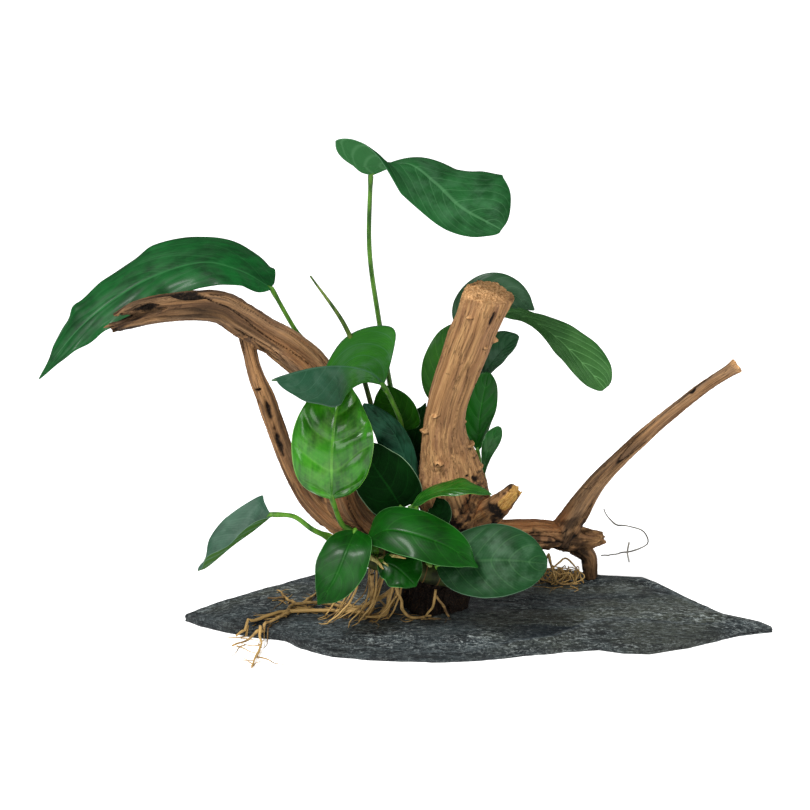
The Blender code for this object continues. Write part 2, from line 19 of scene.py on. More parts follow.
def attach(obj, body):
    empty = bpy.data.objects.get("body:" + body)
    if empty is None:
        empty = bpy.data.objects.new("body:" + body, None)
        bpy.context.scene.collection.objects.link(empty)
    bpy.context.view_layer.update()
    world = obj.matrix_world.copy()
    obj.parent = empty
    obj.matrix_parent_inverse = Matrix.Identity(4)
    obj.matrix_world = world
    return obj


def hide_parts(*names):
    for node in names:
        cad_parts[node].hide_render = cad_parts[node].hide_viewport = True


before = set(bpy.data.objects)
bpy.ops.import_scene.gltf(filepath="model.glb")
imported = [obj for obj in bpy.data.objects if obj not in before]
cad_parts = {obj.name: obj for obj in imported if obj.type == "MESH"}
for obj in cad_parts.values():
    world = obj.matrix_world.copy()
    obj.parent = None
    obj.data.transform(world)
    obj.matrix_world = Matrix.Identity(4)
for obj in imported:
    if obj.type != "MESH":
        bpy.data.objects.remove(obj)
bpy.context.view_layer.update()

MM = 0.001

# Camera: 15 degrees above the horizon, straight in front
CAMERA_PLACE = (-37.5, -923.7, 362.9)
CAMERA_TARGET = (-37.5, 0, 115.4)
LENS = 85
SENSOR = 36
FLOOR_SIZE = 30000

# Slate slab: its edge seen from above, from the left tip along the front and back behind
SLAB_TOP = 9.0
SLAB_UNDERCUT = 0.4
SLAB_LEDGE = 0.55
SLAB_EDGE = (
    # x, y, height of the top edge, how far that edge lies inside the bottom one
    (-152, 0, 4, 1.0), (-143, -8, 5, 1.0), (-128, -17, 6, 0.5), (-113, -24, 6, 0.8), (-98, -28, 6, 0.8),
    (-90, -38, 6, 1.5), (-74, -49, 5, 3.0), (-57, -53, 5, 4.0), (-40, -55, 4, 4.0), (-20, -56, 4, 4.0),
    (-1, -54, 5, 4.0), (19, -49, 7, 5.0), (39, -44, 8, 6.0), (59, -40, 9, 17.0), (71, -45, 9, 27.0),
    (83, -46, 9, 30.0), (104, -38, 8, 20.0), (129, -23, 6, 6.0), (142, -18, 4, 2.0), (150, -16, 3, 0.5),
    (145, -11, 4, 1.0), (128, -5, 6, 1.5), (112, 14, 8, 2.0), (97, 36, 9, 2.0), (90, 44, 9, 2.0),
    (68, 47, 9, 1.5), (47, 57, 9, 2.0), (3, 62, 9, 2.0), (-40, 62, 9, 2.0), (-83, 51, 9, 2.0),
    (-99, 38, 9, 2.0), (-119, 24, 8, 2.0), (-138, 12, 6, 1.5),
)

# Driftwood: the middle line of each limb as x, y, z, radius
WOOD = {
    "driftwood_trunk": (
        (-7, 3, 48, 15), (-10, 1, 60, 15.5), (-15, -1, 75, 17.5), (-16, -4, 87, 15),
        (-18, -8, 102, 11.3), (-16, -14, 120, 10), (-11, -20, 138, 10), (-7, -24, 151, 10.7),
        (-3, -28, 163, 10.8), (2, -33, 180, 12),
    ),
    "driftwood_base": (
        (-9, 2, 55, 15), (-14, 1, 38, 17), (-21, 1, 22, 16), (-24, 2, 9.3, 17),
    ),
    "driftwood_stub": ((-1, -4, 57, 6.5), (8, -12, 66, 5.5), (17, -18, 77, 3.5)),
    "driftwood_arch": (
        (-22, -3, 38, 12), (-48, -4, 46, 11.5), (-65, -1, 61, 11), (-72, 3, 89, 10.5),
        (-77, 6, 115, 10), (-84, 8, 131, 9.5), (-95, 7, 142, 9), (-107, 6, 150, 8),
        (-119.5, 4, 158.5, 8.2), (-131, 2, 165, 7.7), (-151, 0, 165.5, 7), (-168, -2, 163, 6),
        (-183, -4, 157, 3.5),
    ),
    "driftwood_strut": (
        (-117, 5, 150, 3.5), (-112, 4, 131, 4), (-106.5, 3, 117, 5), (-102, 2, 102, 5),
        (-94.5, 0, 82, 4.7), (-86, -2, 67, 5), (-74, -4, 55, 5), (-62, -4, 50, 5),
    ),
    "driftwood_arm": (
        (2, 4, 44, 9), (19, 15, 42, 8), (36, 26, 38, 7.5), (52, 34, 33, 7), (61, 34, 33, 5),
        (67, 33, 34, 3),
    ),
    "driftwood_foot": ((54, 36, 29, 6), (60, 38, 22, 4.5), (62, 40, 9.3, 3.5)),
    "driftwood_branch": (
        (43, 30, 34, 8), (54, 32, 52, 6.2), (66, 30, 70, 4.6), (91, 27, 96, 3.6), (114, 24, 117, 3.1),
        (127, 22, 127, 3.1), (132, 22, 130.5, 3.9),
    ),
}

# Rhizomes: the creeping stems that carry the leaves and hold to the wood
RHIZOME_RADIUS = 5.5
RHIZOMES = {
    "rhizome_front": ((-70, -19, 48), (-52, -22, 42), (-30, -22, 36), (-10, -20, 30)),
    "rhizome_back": ((-50, 22, 34), (-24, 25, 32), (10, 30, 30)),
}

# Leaves
BLADE_END = 0.004
BLADE_POINTEDNESS = 0.75
LOBE_SHARE = 0.4
STEM_RADIUS = 1.5
STEM_TIP_RADIUS = 1.1
STEM_RISE = 5.0
FINE_STEPS = 200


@dataclass
class Leaf:
    """One leaf: where its stem grows from, the way the stem takes, and the shape of the blade."""

    name: str
    colour: str
    rhizome: str
    at: float
    leaves: tuple
    stem: tuple
    rib: tuple
    face: tuple
    half: tuple
    fold: tuple = ((0, 0),)
    widest: tuple = (0.45, 0.45)
    lobe: tuple = (4, 4)
    lobe_rise: tuple = (0, 0)


# "at" is the share along the rhizome, "leaves" the way the stem sets out and "stem" what it passes.
# The midrib runs from the blade's base to its tip, and "face" is where the upper side looks on the way.
# Pairs are for the left and the right half: "half" is its width and "widest" the share of the length
# where it is widest. "fold" has the degrees by which the halves rise from the midrib, on the way from
# base to tip. "lobe" is how far the heart shape reaches back, and "lobe_rise" how far it rises there.
LEAVES = (
    Leaf("top", "mid", "rhizome_back", 0.45, (0, 0, 1),
         ((-36, 26, 74), (-44, 22, 114), (-51, 15, 158), (-55, 4, 194)),
         ((-54, -5, 232), (-44, -12, 237), (-34, -20, 238), (-22, -31, 230), (-11, -42, 221), (7, -54, 213)),
         ((-0.3, -0.3, 1), (-0.2, -0.4, 0.9), (-0.2, -0.7, 0.65), (-0.2, -0.75, 0.6)),
         (32, 15), ((-60, 8), (-32, -5), (-12, -10), (0, -15)), (0.63, 0.42), (16, 24), (4, 14)),
    Leaf("over_arch", "deep", "rhizome_back", 0.03, (-0.4, 0.3, 1),
         ((-68, 27, 85), (-83, 27, 132), (-94, 27, 149)),
         ((-105, 28, 169), (-122, 30, 178), (-142, 31, 181.5), (-171, 28, 172), (-200, 20, 152),
          (-222, 9, 126)),
         ((0, -0.3, 1), (0, -0.5, 1), (-0.1, -0.6, 0.9), (-0.3, -0.7, 0.7)),
         (16, 22), ((0, 20), (0, 0)), (0.4, 0.33), (6, 8)),
    Leaf("folded", "blue", "rhizome_front", 0.48, (0, -0.1, 1),
         ((-40, -19, 58), (-42, -9, 72), (-42, -4, 85), (-39, -4, 104), (-44, -12, 121)),
         ((-48, -18, 130), (-55, -24, 138), (-66, -32, 143), (-80, -43, 145), (-98, -60, 144)),
         ((0.8, -0.8, 0), (0.4, -0.7, 0.5), (0, -0.4, 0.9), (-0.1, -0.35, 0.9), (-0.1, -0.35, 0.9)),
         (20, 38), ((-38, -14), (-40, -74), (-38, -66), (-38, -38), (-38, -28)), (0.62, 0.12),
         (0, 2), (0, 4)),
    Leaf("bright", "bright", "rhizome_front", 0.1, (0, -0.3, 1),
         ((-69, -26, 62),),
         ((-73, -34, 77), (-73, -36, 98), (-71, -30, 118), (-66, -16, 133)),
         ((0, -1, 0.1), (0, -1, 0.1), (0, -1, 0.2)), (20, 20), ((5, 5),)),
    Leaf("low_left", "blue", "rhizome_front", 0.02, (-0.6, -0.5, 0.6),
         ((-83, -33, 61), (-92, -34, 68)),
         ((-103, -34, 69), (-112, -36, 62), (-122, -38, 55), (-134, -40, 45), (-139, -40, 42)),
         ((0, -0.3, 1), (-0.2, -0.2, 1), (-0.4, -0.2, 0.9)),
         (6, 14), ((40, 40), (62, 40), (62, 40)), (0.45, 0.35), (3, 10), (0, 2)),
    Leaf("front_left", "mid", "rhizome_front", 0.2, (-0.1, -0.7, 0.7),
         ((-61, -27, 54),),
         ((-62, -31, 60), (-66, -42, 53), (-72, -48, 40), (-80, -50, 28)),
         ((-0.2, -0.6, 0.8), (-0.3, -0.9, 0.3), (-0.3, -0.9, 0.2)), (13, 13), ((5, 5),)),
    Leaf("front_middle", "mid", "rhizome_front", 0.3, (0, -0.7, 0.7),
         ((-54, -31, 50),),
         ((-56, -35, 56), (-46, -40, 63), (-30, -46, 62), (-15, -50, 57), (-2, -52, 48)),
         ((-0.3, -0.5, 0.8), (0, -0.6, 0.8), (0.4, -0.7, 0.6)), (15, 12), ((10, -5),), (0.4, 0.5)),
    Leaf("front_low", "mid", "rhizome_front", 0.38, (0, -0.9, 0.2),
         (),
         ((-50, -34, 45), (-42, -38, 43), (-32, -43, 35)),
         ((0, -0.6, 0.8), (0.1, -0.8, 0.6), (0.3, -0.8, 0.5)), (12, 9), ((0, 0),), (0.6, 0.5), (2, 2)),
    Leaf("front_right", "deep", "rhizome_front", 0.93, (0, -0.9, 0.4),
         ((-17, -30, 37),),
         ((-22, -33, 42), (-8, -38, 46), (11, -44, 49), (32, -44, 47)),
         ((0.1, -0.7, 0.7), (0.1, -0.8, 0.55), (0.1, -0.8, 0.55)), (19, 19), ((4, 4),), (0.5, 0.5)),
    Leaf("dark_middle", "dark", "rhizome_front", 0.58, (0, -0.5, 0.9),
         ((-36, -24, 55),),
         ((-39, -18, 67), (-45, -21, 78), (-52, -22, 89), (-59, -23, 102)),
         ((-0.1, -1, 0.1), (-0.1, -1, 0.2), (-0.1, -1, 0.2)), (15, 15), ((0, 0),), (0.4, 0.4), (6, 6)),
    Leaf("dark_curled", "blue", "rhizome_front", 0.66, (0, -0.1, 1),
         ((-30, -23, 50),),
         ((-32, -17, 69), (-35, -12, 82), (-39, -11, 96), (-46, -14, 109), (-58, -18, 121)),
         ((0.1, -1, 0), (0.1, -1, 0), (0.3, -0.8, 0.5)), (10, 6), ((0, 20),), (0.5, 0.5)),
    Leaf("olive", "olive", "rhizome_back", 0.22, (0, -0.2, 1),
         ((-40, 16, 55), (-40, 7, 80)),
         ((-38, 2, 101), (-42, 2, 112), (-49, 5, 125)),
         ((0, -1, 0.1), (0, -1, 0.1)), (12, 10), ((0, 0),), (0.45, 0.35)),
    Leaf("trunk_left_low", "dark", "rhizome_back", 0.34, (0, -0.1, 1),
         ((-33, 20, 55),),
         ((-35, 11, 76), (-33, 12, 94), (-27, 14, 113)),
         ((0.4, -0.9, 0.1), (0.4, -0.9, 0.1)), (9, 8), ((0, 0),), (0.45, 0.45), (2, 2)),
    Leaf("trunk_left_high", "mid", "rhizome_back", 0.52, (0, 0.2, 1),
         ((-25, 28, 70),),
         ((-22, 22, 110), (-20, 24, 127), (-12, 26, 151)),
         ((0, -1, 0), (0, -1, 0)), (9.5, 8), ((0, 0),), (0.5, 0.5), (2, 2)),
    Leaf("trunk_top", "deep", "rhizome_back", 0.6, (0, 0.2, 1),
         ((-13, 30, 80), (-9, 30, 120)),
         ((-6, 24, 148), (-3, 25, 160), (5, 26, 167), (16, 25, 167), (28, 22, 159)),
         ((-0.3, -1, 0.1), (-0.1, -0.9, 0.4), (0.2, -0.8, 0.5)), (7, 10), ((0, 0),), (0.4, 0.4)),
    Leaf("right_long", "mid", "rhizome_back", 0.68, (0, 0.2, 1),
         ((-4, 33, 80), (0, 29, 130)),
         ((4, 24, 157), (16, 20, 158), (28, 14, 154), (38, 8, 148), (49, 3, 138), (62, -4, 124.5)),
         ((0.2, -0.7, 0.6), (0.3, -0.8, 0.6), (0.3, -0.9, 0.3)), (14, 7), ((0, 0),), (0.71, 0.74), (3, 3)),
    Leaf("right_high", "dark", "rhizome_back", 0.77, (0, 0.2, 1),
         ((3, 34, 70), (4, 36, 100)),
         ((0, 33, 118), (11, 34, 134), (21, 35, 143)),
         ((0.2, -1, 0.1), (0.2, -1, 0.1)), (10, 5), ((0, 0),), (0.6, 0.6), (2, 2)),
    Leaf("right_middle", "mid", "rhizome_back", 0.86, (0, 0.3, 1),
         ((4, 31, 60),),
         ((0, 24, 84), (1, 24, 104), (5, 25, 126)),
         ((0, -1, 0), (0, -1, 0)), (10, 8), ((0, 0),), (0.6, 0.6), (2, 2)),
    Leaf("right_low", "mid", "rhizome_back", 0.95, (0, 0, 1),
         ((8, 26, 50),),
         ((3, 17, 72), (5, 17, 86), (11, 19, 99)),
         ((0, -1, 0.1), (0, -1, 0.1)), (4.5, 4), ((0, 0),), (0.7, 0.7), (1, 1)),
    Leaf("trunk_front", "mid", "rhizome_front", 0.74, (0, -0.4, 0.9),
         ((-29, -29, 52),),
         ((-35, -26, 70), (-25, -30, 78), (-11, -34, 82), (5, -36, 80)),
         ((0, -0.3, 1), (0, -0.3, 1)), (10, 5), ((5, 5),), (0.5, 0.5), (2, 2)),
    Leaf("small_inner", "dark", "rhizome_front", 0.84, (0, -0.2, 1),
         ((-21, -26, 46),),
         ((-24, -26, 56), (-20, -24, 68), (-22, -22, 74)),
         ((0, -1, 0.2), (0, -1, 0.2)), (6, 6), ((0, 0),), (0.5, 0.5), (1, 1)),
)

# The newest leaf, still rolled up into a thin spear
SPEAR = (
    (-45, 20, 40.5, 1.6), (-46, 17, 60, 1.6), (-48, 12, 83, 1.5), (-58, 8, 126, 1.3),
    (-67, 5, 154, 1.2), (-84, 0, 181, 0.5),
)

# Roots: the middle line of each strand as x, y, height above the slab or the floor, radius
ROOTS = {
    "roots_front": (
        (
            (-54, -22, 25, 1.6), (-54, -20, 12, 1.6), (-55, -15, 2.3, 1.6), (-65, -9, 2.1, 1.6),
            (-82, -3, 2.1, 1.5), (-95, -4, 2.1, 1.4), (-97, -14, 2.2, 1.4), (-107, -23, 2.8, 1.2),
            (-111, -27.5, 6.0, 1.1), (-116, -32, 2.5, 0.9), (-124, -36, 1.2, 0.6),
        ),
        (
            (-110, -26, 7.6, 1.1), (-110, -31, 4, 1.0), (-109, -41, 1.4, 0.9), (-112, -62, 1.2, 0.6),
        ),
        (
            (-60, -14, 2.2, 1.4), (-74, -11, 2.0, 1.4), (-94, -11, 2.0, 1.3), (-111, -17, 2.2, 1.2),
            (-118, -22, 3.8, 1.0), (-122, -26, 2.4, 0.7),
        ),
        ((-93, -3, 2.0, 1.2), (-98, 4, 1.9, 1.0), (-102, 14, 1.6, 0.8), (-104, 19, 1.4, 0.5)),
        ((-100, 8, 1.7, 0.9), (-109, 8, 1.5, 0.5)),
        ((-90, -3, 2.0, 1.0), (-86, 8, 1.6, 0.8), (-83, 21, 1.3, 0.5)),
    ),
    "roots_bunch": (
        ((-43, -21, 22.5, 1.6), (-46, -14, 12, 1.4), (-60, -7, 2.6, 1.2), (-72, -1, 1.6, 0.8)),
        ((-43, -21, 22.5, 1.6), (-45, -17, 11, 1.4), (-48, -19, 2.2, 1.3), (-58, -20, 1.8, 0.8)),
        ((-43, -21, 22.5, 1.6), (-42, -14, 11, 1.3), (-46, -8, 2.0, 1.2), (-50, 2, 1.6, 0.7)),
        ((-43, -21, 22.5, 1.6), (-40, -22, 11, 1.2), (-36, -21, 1.9, 1.0), (-24, -20.5, 1.7, 0.8)),
        ((-27, -20.5, 1.7, 0.9), (-23, -21, 9, 0.9), (-22, -21, 16, 0.9)),
        ((-22, -21, 13, 0.9), (-18, -21, 7, 0.9), (-15, -21, 1.7, 0.7)),
    ),
    "roots_back": (
        ((38, 27, 19.5, 1.6), (36, 33, 10, 1.2), (33, 40, 1.8, 1.0), (26, 44, 1.4, 0.6)),
        ((38, 27, 19.5, 1.6), (41, 34, 9, 1.2), (46, 40, 1.8, 1.0), (54, 45, 1.4, 0.6)),
        ((38, 27, 19.5, 1.6), (40, 26, 10, 1.2), (44, 28, 2.0, 1.0), (54, 31, 1.6, 0.6)),
        ((41, 34, 9, 1.0), (47, 36, 14, 0.9), (53, 36, 8, 0.9), (57, 33, 1.6, 0.7)),
    ),
    "root_loop": (
        (
            (66.5, 35, 15, 0.9), (74, 27, 19, 0.9), (83, 25, 21.5, 0.9), (89, 25, 25, 0.9),
            (88, 25, 31, 0.9), (81, 26, 34, 0.9), (73, 28, 35, 0.9), (69, 30, 38, 0.9),
            (67, 31, 43, 0.7),
        ),
    ),
}


# Helpers

CURVE_STEPS = 16
# Large odd numbers that scramble a cell's place and a seed, and the bits that are kept
SCRAMBLERS = (374761393, 668265263, 1442695041, 1274126177)
LAST_SCRAMBLER = 1103515245
KEPT_BITS = 0xFFFFFFFF
VALUE_BITS = 0xFFFF


def unit(vectors):
    return vectors / np.maximum(np.linalg.norm(vectors, axis=-1, keepdims=True), 1e-9)


def eased(share):
    return share * share * (3 - 2 * share)


def smooth_step(value, low, high):
    """0 below low, 1 above high and a soft change between them; high may be the lower one."""
    return eased(np.clip((np.asarray(value, float) - low) / (high - low), 0, 1))


def rows_at(wanted, along, rows):
    """Rows of values, read between the places along a line where they are known."""
    return np.column_stack([np.interp(wanted, along, column) for column in np.array(rows, float).T])


def blend(rows, share):
    """The values at shares of the way through evenly spaced rows of them."""
    return rows_at(share, np.linspace(0, 1, len(rows)), rows)


def smooth_path(points, count):
    """Evenly spaced stations along a Catmull-Rom curve through the points, with their further values."""
    points = np.array(points, float)
    padded = np.vstack([2 * points[0] - points[1], points, 2 * points[-1] - points[-2]])
    curve = []
    for a, b, c, d in zip(padded, padded[1:], padded[2:], padded[3:]):
        for t in np.arange(CURVE_STEPS) / CURVE_STEPS:
            bend = (c - a) * t + (2 * a - 5 * b + 4 * c - d) * t**2 + (3 * b - a - 3 * c + d) * t**3
            curve.append(b + bend / 2)
    curve.append(points[-1])
    curve = np.array(curve)
    lengths = np.linalg.norm(np.diff(curve[:, :3], axis=0), axis=1)
    along = np.concatenate([[0], np.cumsum(lengths)])
    return rows_at(np.linspace(0, along[-1], count), along, curve)


def length_of(points):
    return float(np.linalg.norm(np.diff(np.array(points, float)[:, :3], axis=0), axis=1).sum())


def cell_values(cells, seed):
    """Repeatable values from 0 to 1, one for each whole-number cell."""
    x, y, z = np.moveaxis(cells.astype(np.int64), -1, 0)
    mixed = sum(number * by for number, by in zip((x, y, z, seed), SCRAMBLERS)) & KEPT_BITS
    mixed = ((mixed ^ (mixed >> 13)) * LAST_SCRAMBLER) & KEPT_BITS
    return ((mixed ^ (mixed >> 16)) & VALUE_BITS) / VALUE_BITS


def noise(points, size, seed):
    """Smooth noise from -1 to 1 whose bumps are about as large as size, which may differ by axis."""
    at = np.asarray(points, float) / size
    cell = np.floor(at)
    share = eased(at - cell)
    total = 0
    for corner in itertools.product((0, 1), repeat=3):
        weight = np.prod(np.where(corner, share, 1 - share), axis=-1)
        total = total + weight * cell_values(cell + corner, seed)
    return total * 2 - 1


def rough(points, size, seed, octaves):
    """Noise with finer noise on it."""
    size = np.asarray(size, float)
    layers = [noise(points, size / 2**k, seed + k) / 2**k for k in range(octaves)]
    return sum(layers) / (2 - 2 ** (1 - octaves))


def ridged(points, size, seed, octaves):
    """Noise from 0 to 1 with sharp crests at 1."""
    return 1 - np.abs(rough(points, size, seed, octaves))


def patches(points, pattern, low, high):
    """Soft-edged patches: 1 where the pattern is past high and 0 where it is short of low."""
    return smooth_step(rough(points, *pattern), low, high)


def sideways_noise(points, size, seed):
    """Two columns of noise, which push a path to and fro in x and y."""
    return np.stack([noise(points, size, seed), noise(points, size, seed + 1)], 1)


def grid_faces(rows, columns):
    """Quads between neighbouring rings of points."""
    row, column = np.meshgrid(np.arange(rows - 1), np.arange(columns), indexing="ij")
    after = (column + 1) % columns
    corners = (row * columns + column, row * columns + after,
               (row + 1) * columns + after, (row + 1) * columns + column)
    return np.stack(corners, -1).reshape(-1, 4).tolist()


def tube_faces(rows, columns):
    """Quads between rings of points, then a face over the first ring and one over the last."""
    last = (rows - 1) * columns
    ends = [list(range(columns))[::-1], list(range(last, last + columns))]
    return grid_faces(rows, columns) + ends


def tube_frames(path):
    """Tangents and two sideways directions along a path that turn as little as they can."""
    tangents = unit(np.gradient(path[:, :3], axis=0))
    side = np.zeros(3)
    side[np.argmin(np.abs(tangents[0]))] = 1
    sides = []
    for tangent in tangents:
        side = unit(side - tangent * (side @ tangent))
        sides.append(side)
    sides = np.array(sides)
    return tangents, sides, np.cross(tangents, sides)


def turns(sides):
    """The angles of the points round a ring."""
    return np.linspace(0, math.tau, sides, endpoint=False)


def tube_points(path, sides, shape=None):
    """Rings round a path of x, y, z, radius; shape is an optional factor for each station and side."""
    _, first, second = tube_frames(path)
    turn = turns(sides)
    out = first[:, None] * np.cos(turn)[:, None] + second[:, None] * np.sin(turn)[:, None]
    radius = path[:, 3][:, None] * (np.ones(sides) if shape is None else shape)
    return path[:, None, :3] + out * radius[..., None]


class Pile:
    """Points, faces and values at the points that end up as one mesh."""

    def __init__(self):
        self.points = []
        self.faces = []
        self.values = {}
        self.count = 0

    def add(self, points, faces, **values):
        """Adds points and the faces between them; a value is one number or one for each point."""
        points = np.asarray(points, float).reshape(-1, 3)
        self.points.append(points)
        self.faces += [[corner + self.count for corner in face] for face in faces]
        for name, value in values.items():
            self.values.setdefault(name, []).append(np.broadcast_to(value, len(points)))
        self.count += len(points)

    def add_tube(self, path, sides, shape=None, **values):
        """A tube along a path, closed at both ends, with the share along it as a value."""
        along = np.repeat(np.linspace(0, 1, len(path)), sides)
        self.add(tube_points(path, sides, shape), tube_faces(len(path), sides), along=along, **values)

    def mesh(self, name):
        values = {key: np.concatenate(parts) for key, parts in self.values.items()}
        return mesh_of(name, np.concatenate(self.points), self.faces, values)


def mesh_of(name, points, faces, values=None, flat=False):
    """A mesh of points in millimetres, smoothly shaded unless it is flat, with values for its finish."""
    data = bpy.data.meshes.new(name)
    data.from_pydata((np.asarray(points).reshape(-1, 3) * MM).tolist(), [], faces)
    for key, value in (values or {}).items():
        is_vector = value.ndim == 2
        attribute = data.attributes.new(key, "FLOAT_VECTOR" if is_vector else "FLOAT", "POINT")
        attribute.data.foreach_set("vector" if is_vector else "value", value.astype(np.float32).ravel())
    if not flat:
        data.shade_smooth()
    return put_in_scene(name, data)


def put_in_scene(name, data):
    made = bpy.data.objects.new(name, data)
    bpy.context.scene.collection.objects.link(made)
    return made


def outward(made):
    """Turns a closed mesh's faces outwards."""
    shell = bmesh.new()
    shell.from_mesh(made.data)
    bmesh.ops.recalc_face_normals(shell, faces=shell.faces)
    shell.to_mesh(made.data)
    shell.free()


def place(made, finish, slot, *nodes):
    """Gives a piece its finish and lets it stand for its CAD nodes."""
    outward(made)
    made.data.materials.append(finish)
    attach(made, "root")
    if nodes:
        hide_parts(*nodes)


def linear(code):
    """A colour as seen on a screen, such as 2e6a3b, as the linear colour that a shader takes."""
    channels = [int(code[i:i + 2], 16) / 255 for i in (0, 2, 4)]
    return tuple(c / 12.92 if c <= 0.04045 else ((c + 0.055) / 1.055) ** 2.4 for c in channels) + (1,)


# Finishes

# Where a mix node takes its share and its two colours, and where it gives the mixed one
MIX_INPUTS = (0, 6, 7)
MIX_OUTPUT = 2

class Signal:
    """A value, vector or colour inside a finish, with the sums that finishes are made of."""

    def __init__(self, finish, socket):
        self.finish = finish
        self.socket = socket

    def __add__(self, other):
        return self.finish.math("ADD", self, other)

    def __sub__(self, other):
        return self.finish.math("SUBTRACT", self, other)

    def __mul__(self, other):
        return self.finish.math("MULTIPLY", self, other)

    def __abs__(self):
        return self.finish.math("ABSOLUTE", self)

    def fraction(self):
        return self.finish.math("FRACT", self)

    def between(self, low, high, bottom=0.0, top=1.0):
        """A soft change from bottom to top as the value goes from low to high."""
        node = self.finish.add("MapRange", interpolation_type="SMOOTHSTEP")
        for number, socket in zip((self, low, high, bottom, top), node.inputs):
            self.finish.put(number, socket)
        return Signal(self.finish, node.outputs["Result"])


class Finish:
    """A material's node tree, with short ways to add the nodes that all finishes use."""

    def __init__(self, name, **settings):
        self.material = bpy.data.materials.new(name)
        self.material.use_nodes = True
        self.tree = self.material.node_tree
        self.skin = self.tree.nodes["Principled BSDF"]
        for setting, value in settings.items():
            self.put(value, self.skin.inputs[setting.replace("_", " ")])

    def add(self, kind, **settings):
        node = self.tree.nodes.new("ShaderNode" + kind)
        for setting, value in settings.items():
            setattr(node, setting, value)
        return node

    def put(self, value, socket):
        """Feeds an input from a signal, a number or a colour such as 2e6a3b."""
        if isinstance(value, Signal):
            self.tree.links.new(value.socket, socket)
        else:
            socket.default_value = linear(value) if isinstance(value, str) else value

    def math(self, operation, *values):
        node = self.add("Math", operation=operation)
        for value, socket in zip(values, node.inputs):
            self.put(value, socket)
        return Signal(self, node.outputs[0])

    def value(self, name):
        return Signal(self, self.add("Attribute", attribute_name=name).outputs["Fac"])

    def vector(self, name):
        return Signal(self, self.add("Attribute", attribute_name=name).outputs["Vector"])

    def object_place(self):
        return Signal(self, self.add("TexCoord").outputs["Object"])

    def noise(self, vector, scale, detail=4.0, harshness=0.55, distortion=0.0):
        """Noise of one scale, or of three when its marks are longer one way than another."""
        if isinstance(scale, tuple):
            stretch = self.add("Mapping")
            self.put(vector, stretch.inputs["Vector"])
            self.put(scale, stretch.inputs["Scale"])
            vector = Signal(self, stretch.outputs[0])
            scale = 1.0
        node = self.add("TexNoise")
        names = ("Vector", "Scale", "Detail", "Roughness", "Distortion")
        for name, value in zip(names, (vector, scale, detail, harshness, distortion)):
            self.put(value, node.inputs[name])
        return Signal(self, node.outputs["Fac"])

    def mix(self, share, first, second):
        node = self.add("Mix", data_type="RGBA")
        for value, number in zip((share, first, second), MIX_INPUTS):
            self.put(value, node.inputs[number])
        return Signal(self, node.outputs[MIX_OUTPUT])

    def layered(self, ground, *layers):
        """A ground colour with further ones laid over it, each by its share."""
        for share, colour in layers:
            ground = self.mix(share, ground, colour)
        return ground

    def material_of(self, colour, height, depth, strength, roughness=None):
        """The material, with its colour and with bumps that are depth millimetres high."""
        node = self.add("Bump")
        for name, value in (("Strength", strength), ("Distance", depth * MM), ("Height", height)):
            self.put(value, node.inputs[name])
        self.put(Signal(self, node.outputs[0]), self.skin.inputs["Normal"])
        self.put(colour, self.skin.inputs["Base Color"])
        if roughness:
            self.put(roughness, self.skin.inputs["Roughness"])
        return self.material


def leaf_finish(name, deep, middle, vein, underside, pale="8fb08a", painted_sheen=0.0, vein_strength=0.35,
                mottling=0.5, gloss=0.42, shine=0.04, glint=0.14, relief=0.6, rib=0.5, base=None):
    """A waxy blade: veins from the values made with the mesh, mottled green between them."""
    leaf = Finish(name, Coat_Weight=shine, Coat_Roughness=0.18, Specular_IOR_Level=glint)
    flat = leaf.vector("flat")
    under = leaf.value("under")
    across = abs(leaf.value("across"))
    to_vein = abs(leaf.value("vein").fraction() - 0.5)
    to_fine_vein = abs((leaf.value("vein") * 6.0).fraction() - 0.5)
    inside = across.between(1.0, 0.8)
    veins = to_vein.between(0.41, 0.495) * inside
    fine_veins = to_fine_vein.between(0.2, 0.5) * inside
    streaks = leaf.noise(flat, (0.12, 0.5, 1.0), 5.0, 0.6)
    tone = leaf.noise(flat, 0.06, 3.0, 0.5) * 0.65 + streaks * 0.35
    softness = 0.2 / (mottling + 0.2)
    tone = tone.between(0.5 - softness, 0.5 + softness)
    green = leaf.mix(tone, deep, middle)
    # Other greens towards the stalk; on the folded leaf the greens beyond them are blue-grey, a painted sky
    # reflection
    if base:
        green = leaf.mix(leaf.value("along").between(0.52, 0.24), green, leaf.mix(tone, *base))
    green = leaf.layered(
        green,
        (fine_veins * (vein_strength * 0.35), vein),
        (veins * vein_strength, vein),
        (across.between(0.055, 0.02) * rib, vein),
    )
    # A blotchy painted sheen in the colour pale over the upper side, fading out towards the margin
    if painted_sheen:
        sheen_patches = leaf.noise(flat, 0.09, 5.0, 0.6).between(0.42, 0.68)
        green = leaf.mix(sheen_patches * painted_sheen * across.between(1.0, 0.5), green, pale)
    below = leaf.layered(underside, (to_vein.between(0.3, 0.5), vein), (0.5, underside))
    # The underside's own greens, then the very margin painted paler in the colour pale, a painted rim
    # highlight
    green = leaf.layered(green, (under, below), (across.between(0.97, 1.0, 0.0, 0.7), pale))
    height = to_vein * -0.8 + fine_veins * -0.12 + leaf.noise(flat, 0.9, 3.0) * 0.25
    return leaf.material_of(green, height, 0.5, relief, under * 0.2 + gloss + streaks * 0.12)


def stem_finish(name, deep, middle):
    """A stalk: green streaks along it, paler where it leaves the rhizome."""
    stem = Finish(name, Roughness=0.45, Specular_IOR_Level=0.2)
    tone = stem.noise(stem.object_place(), (260, 260, 40))
    foot = stem.value("along").between(0.12, 0.0)
    green = stem.layered(deep, (tone.between(0.35, 0.65), middle), (foot, "a3a765"))
    return stem.material_of(green, tone, 0.2, 0.5)


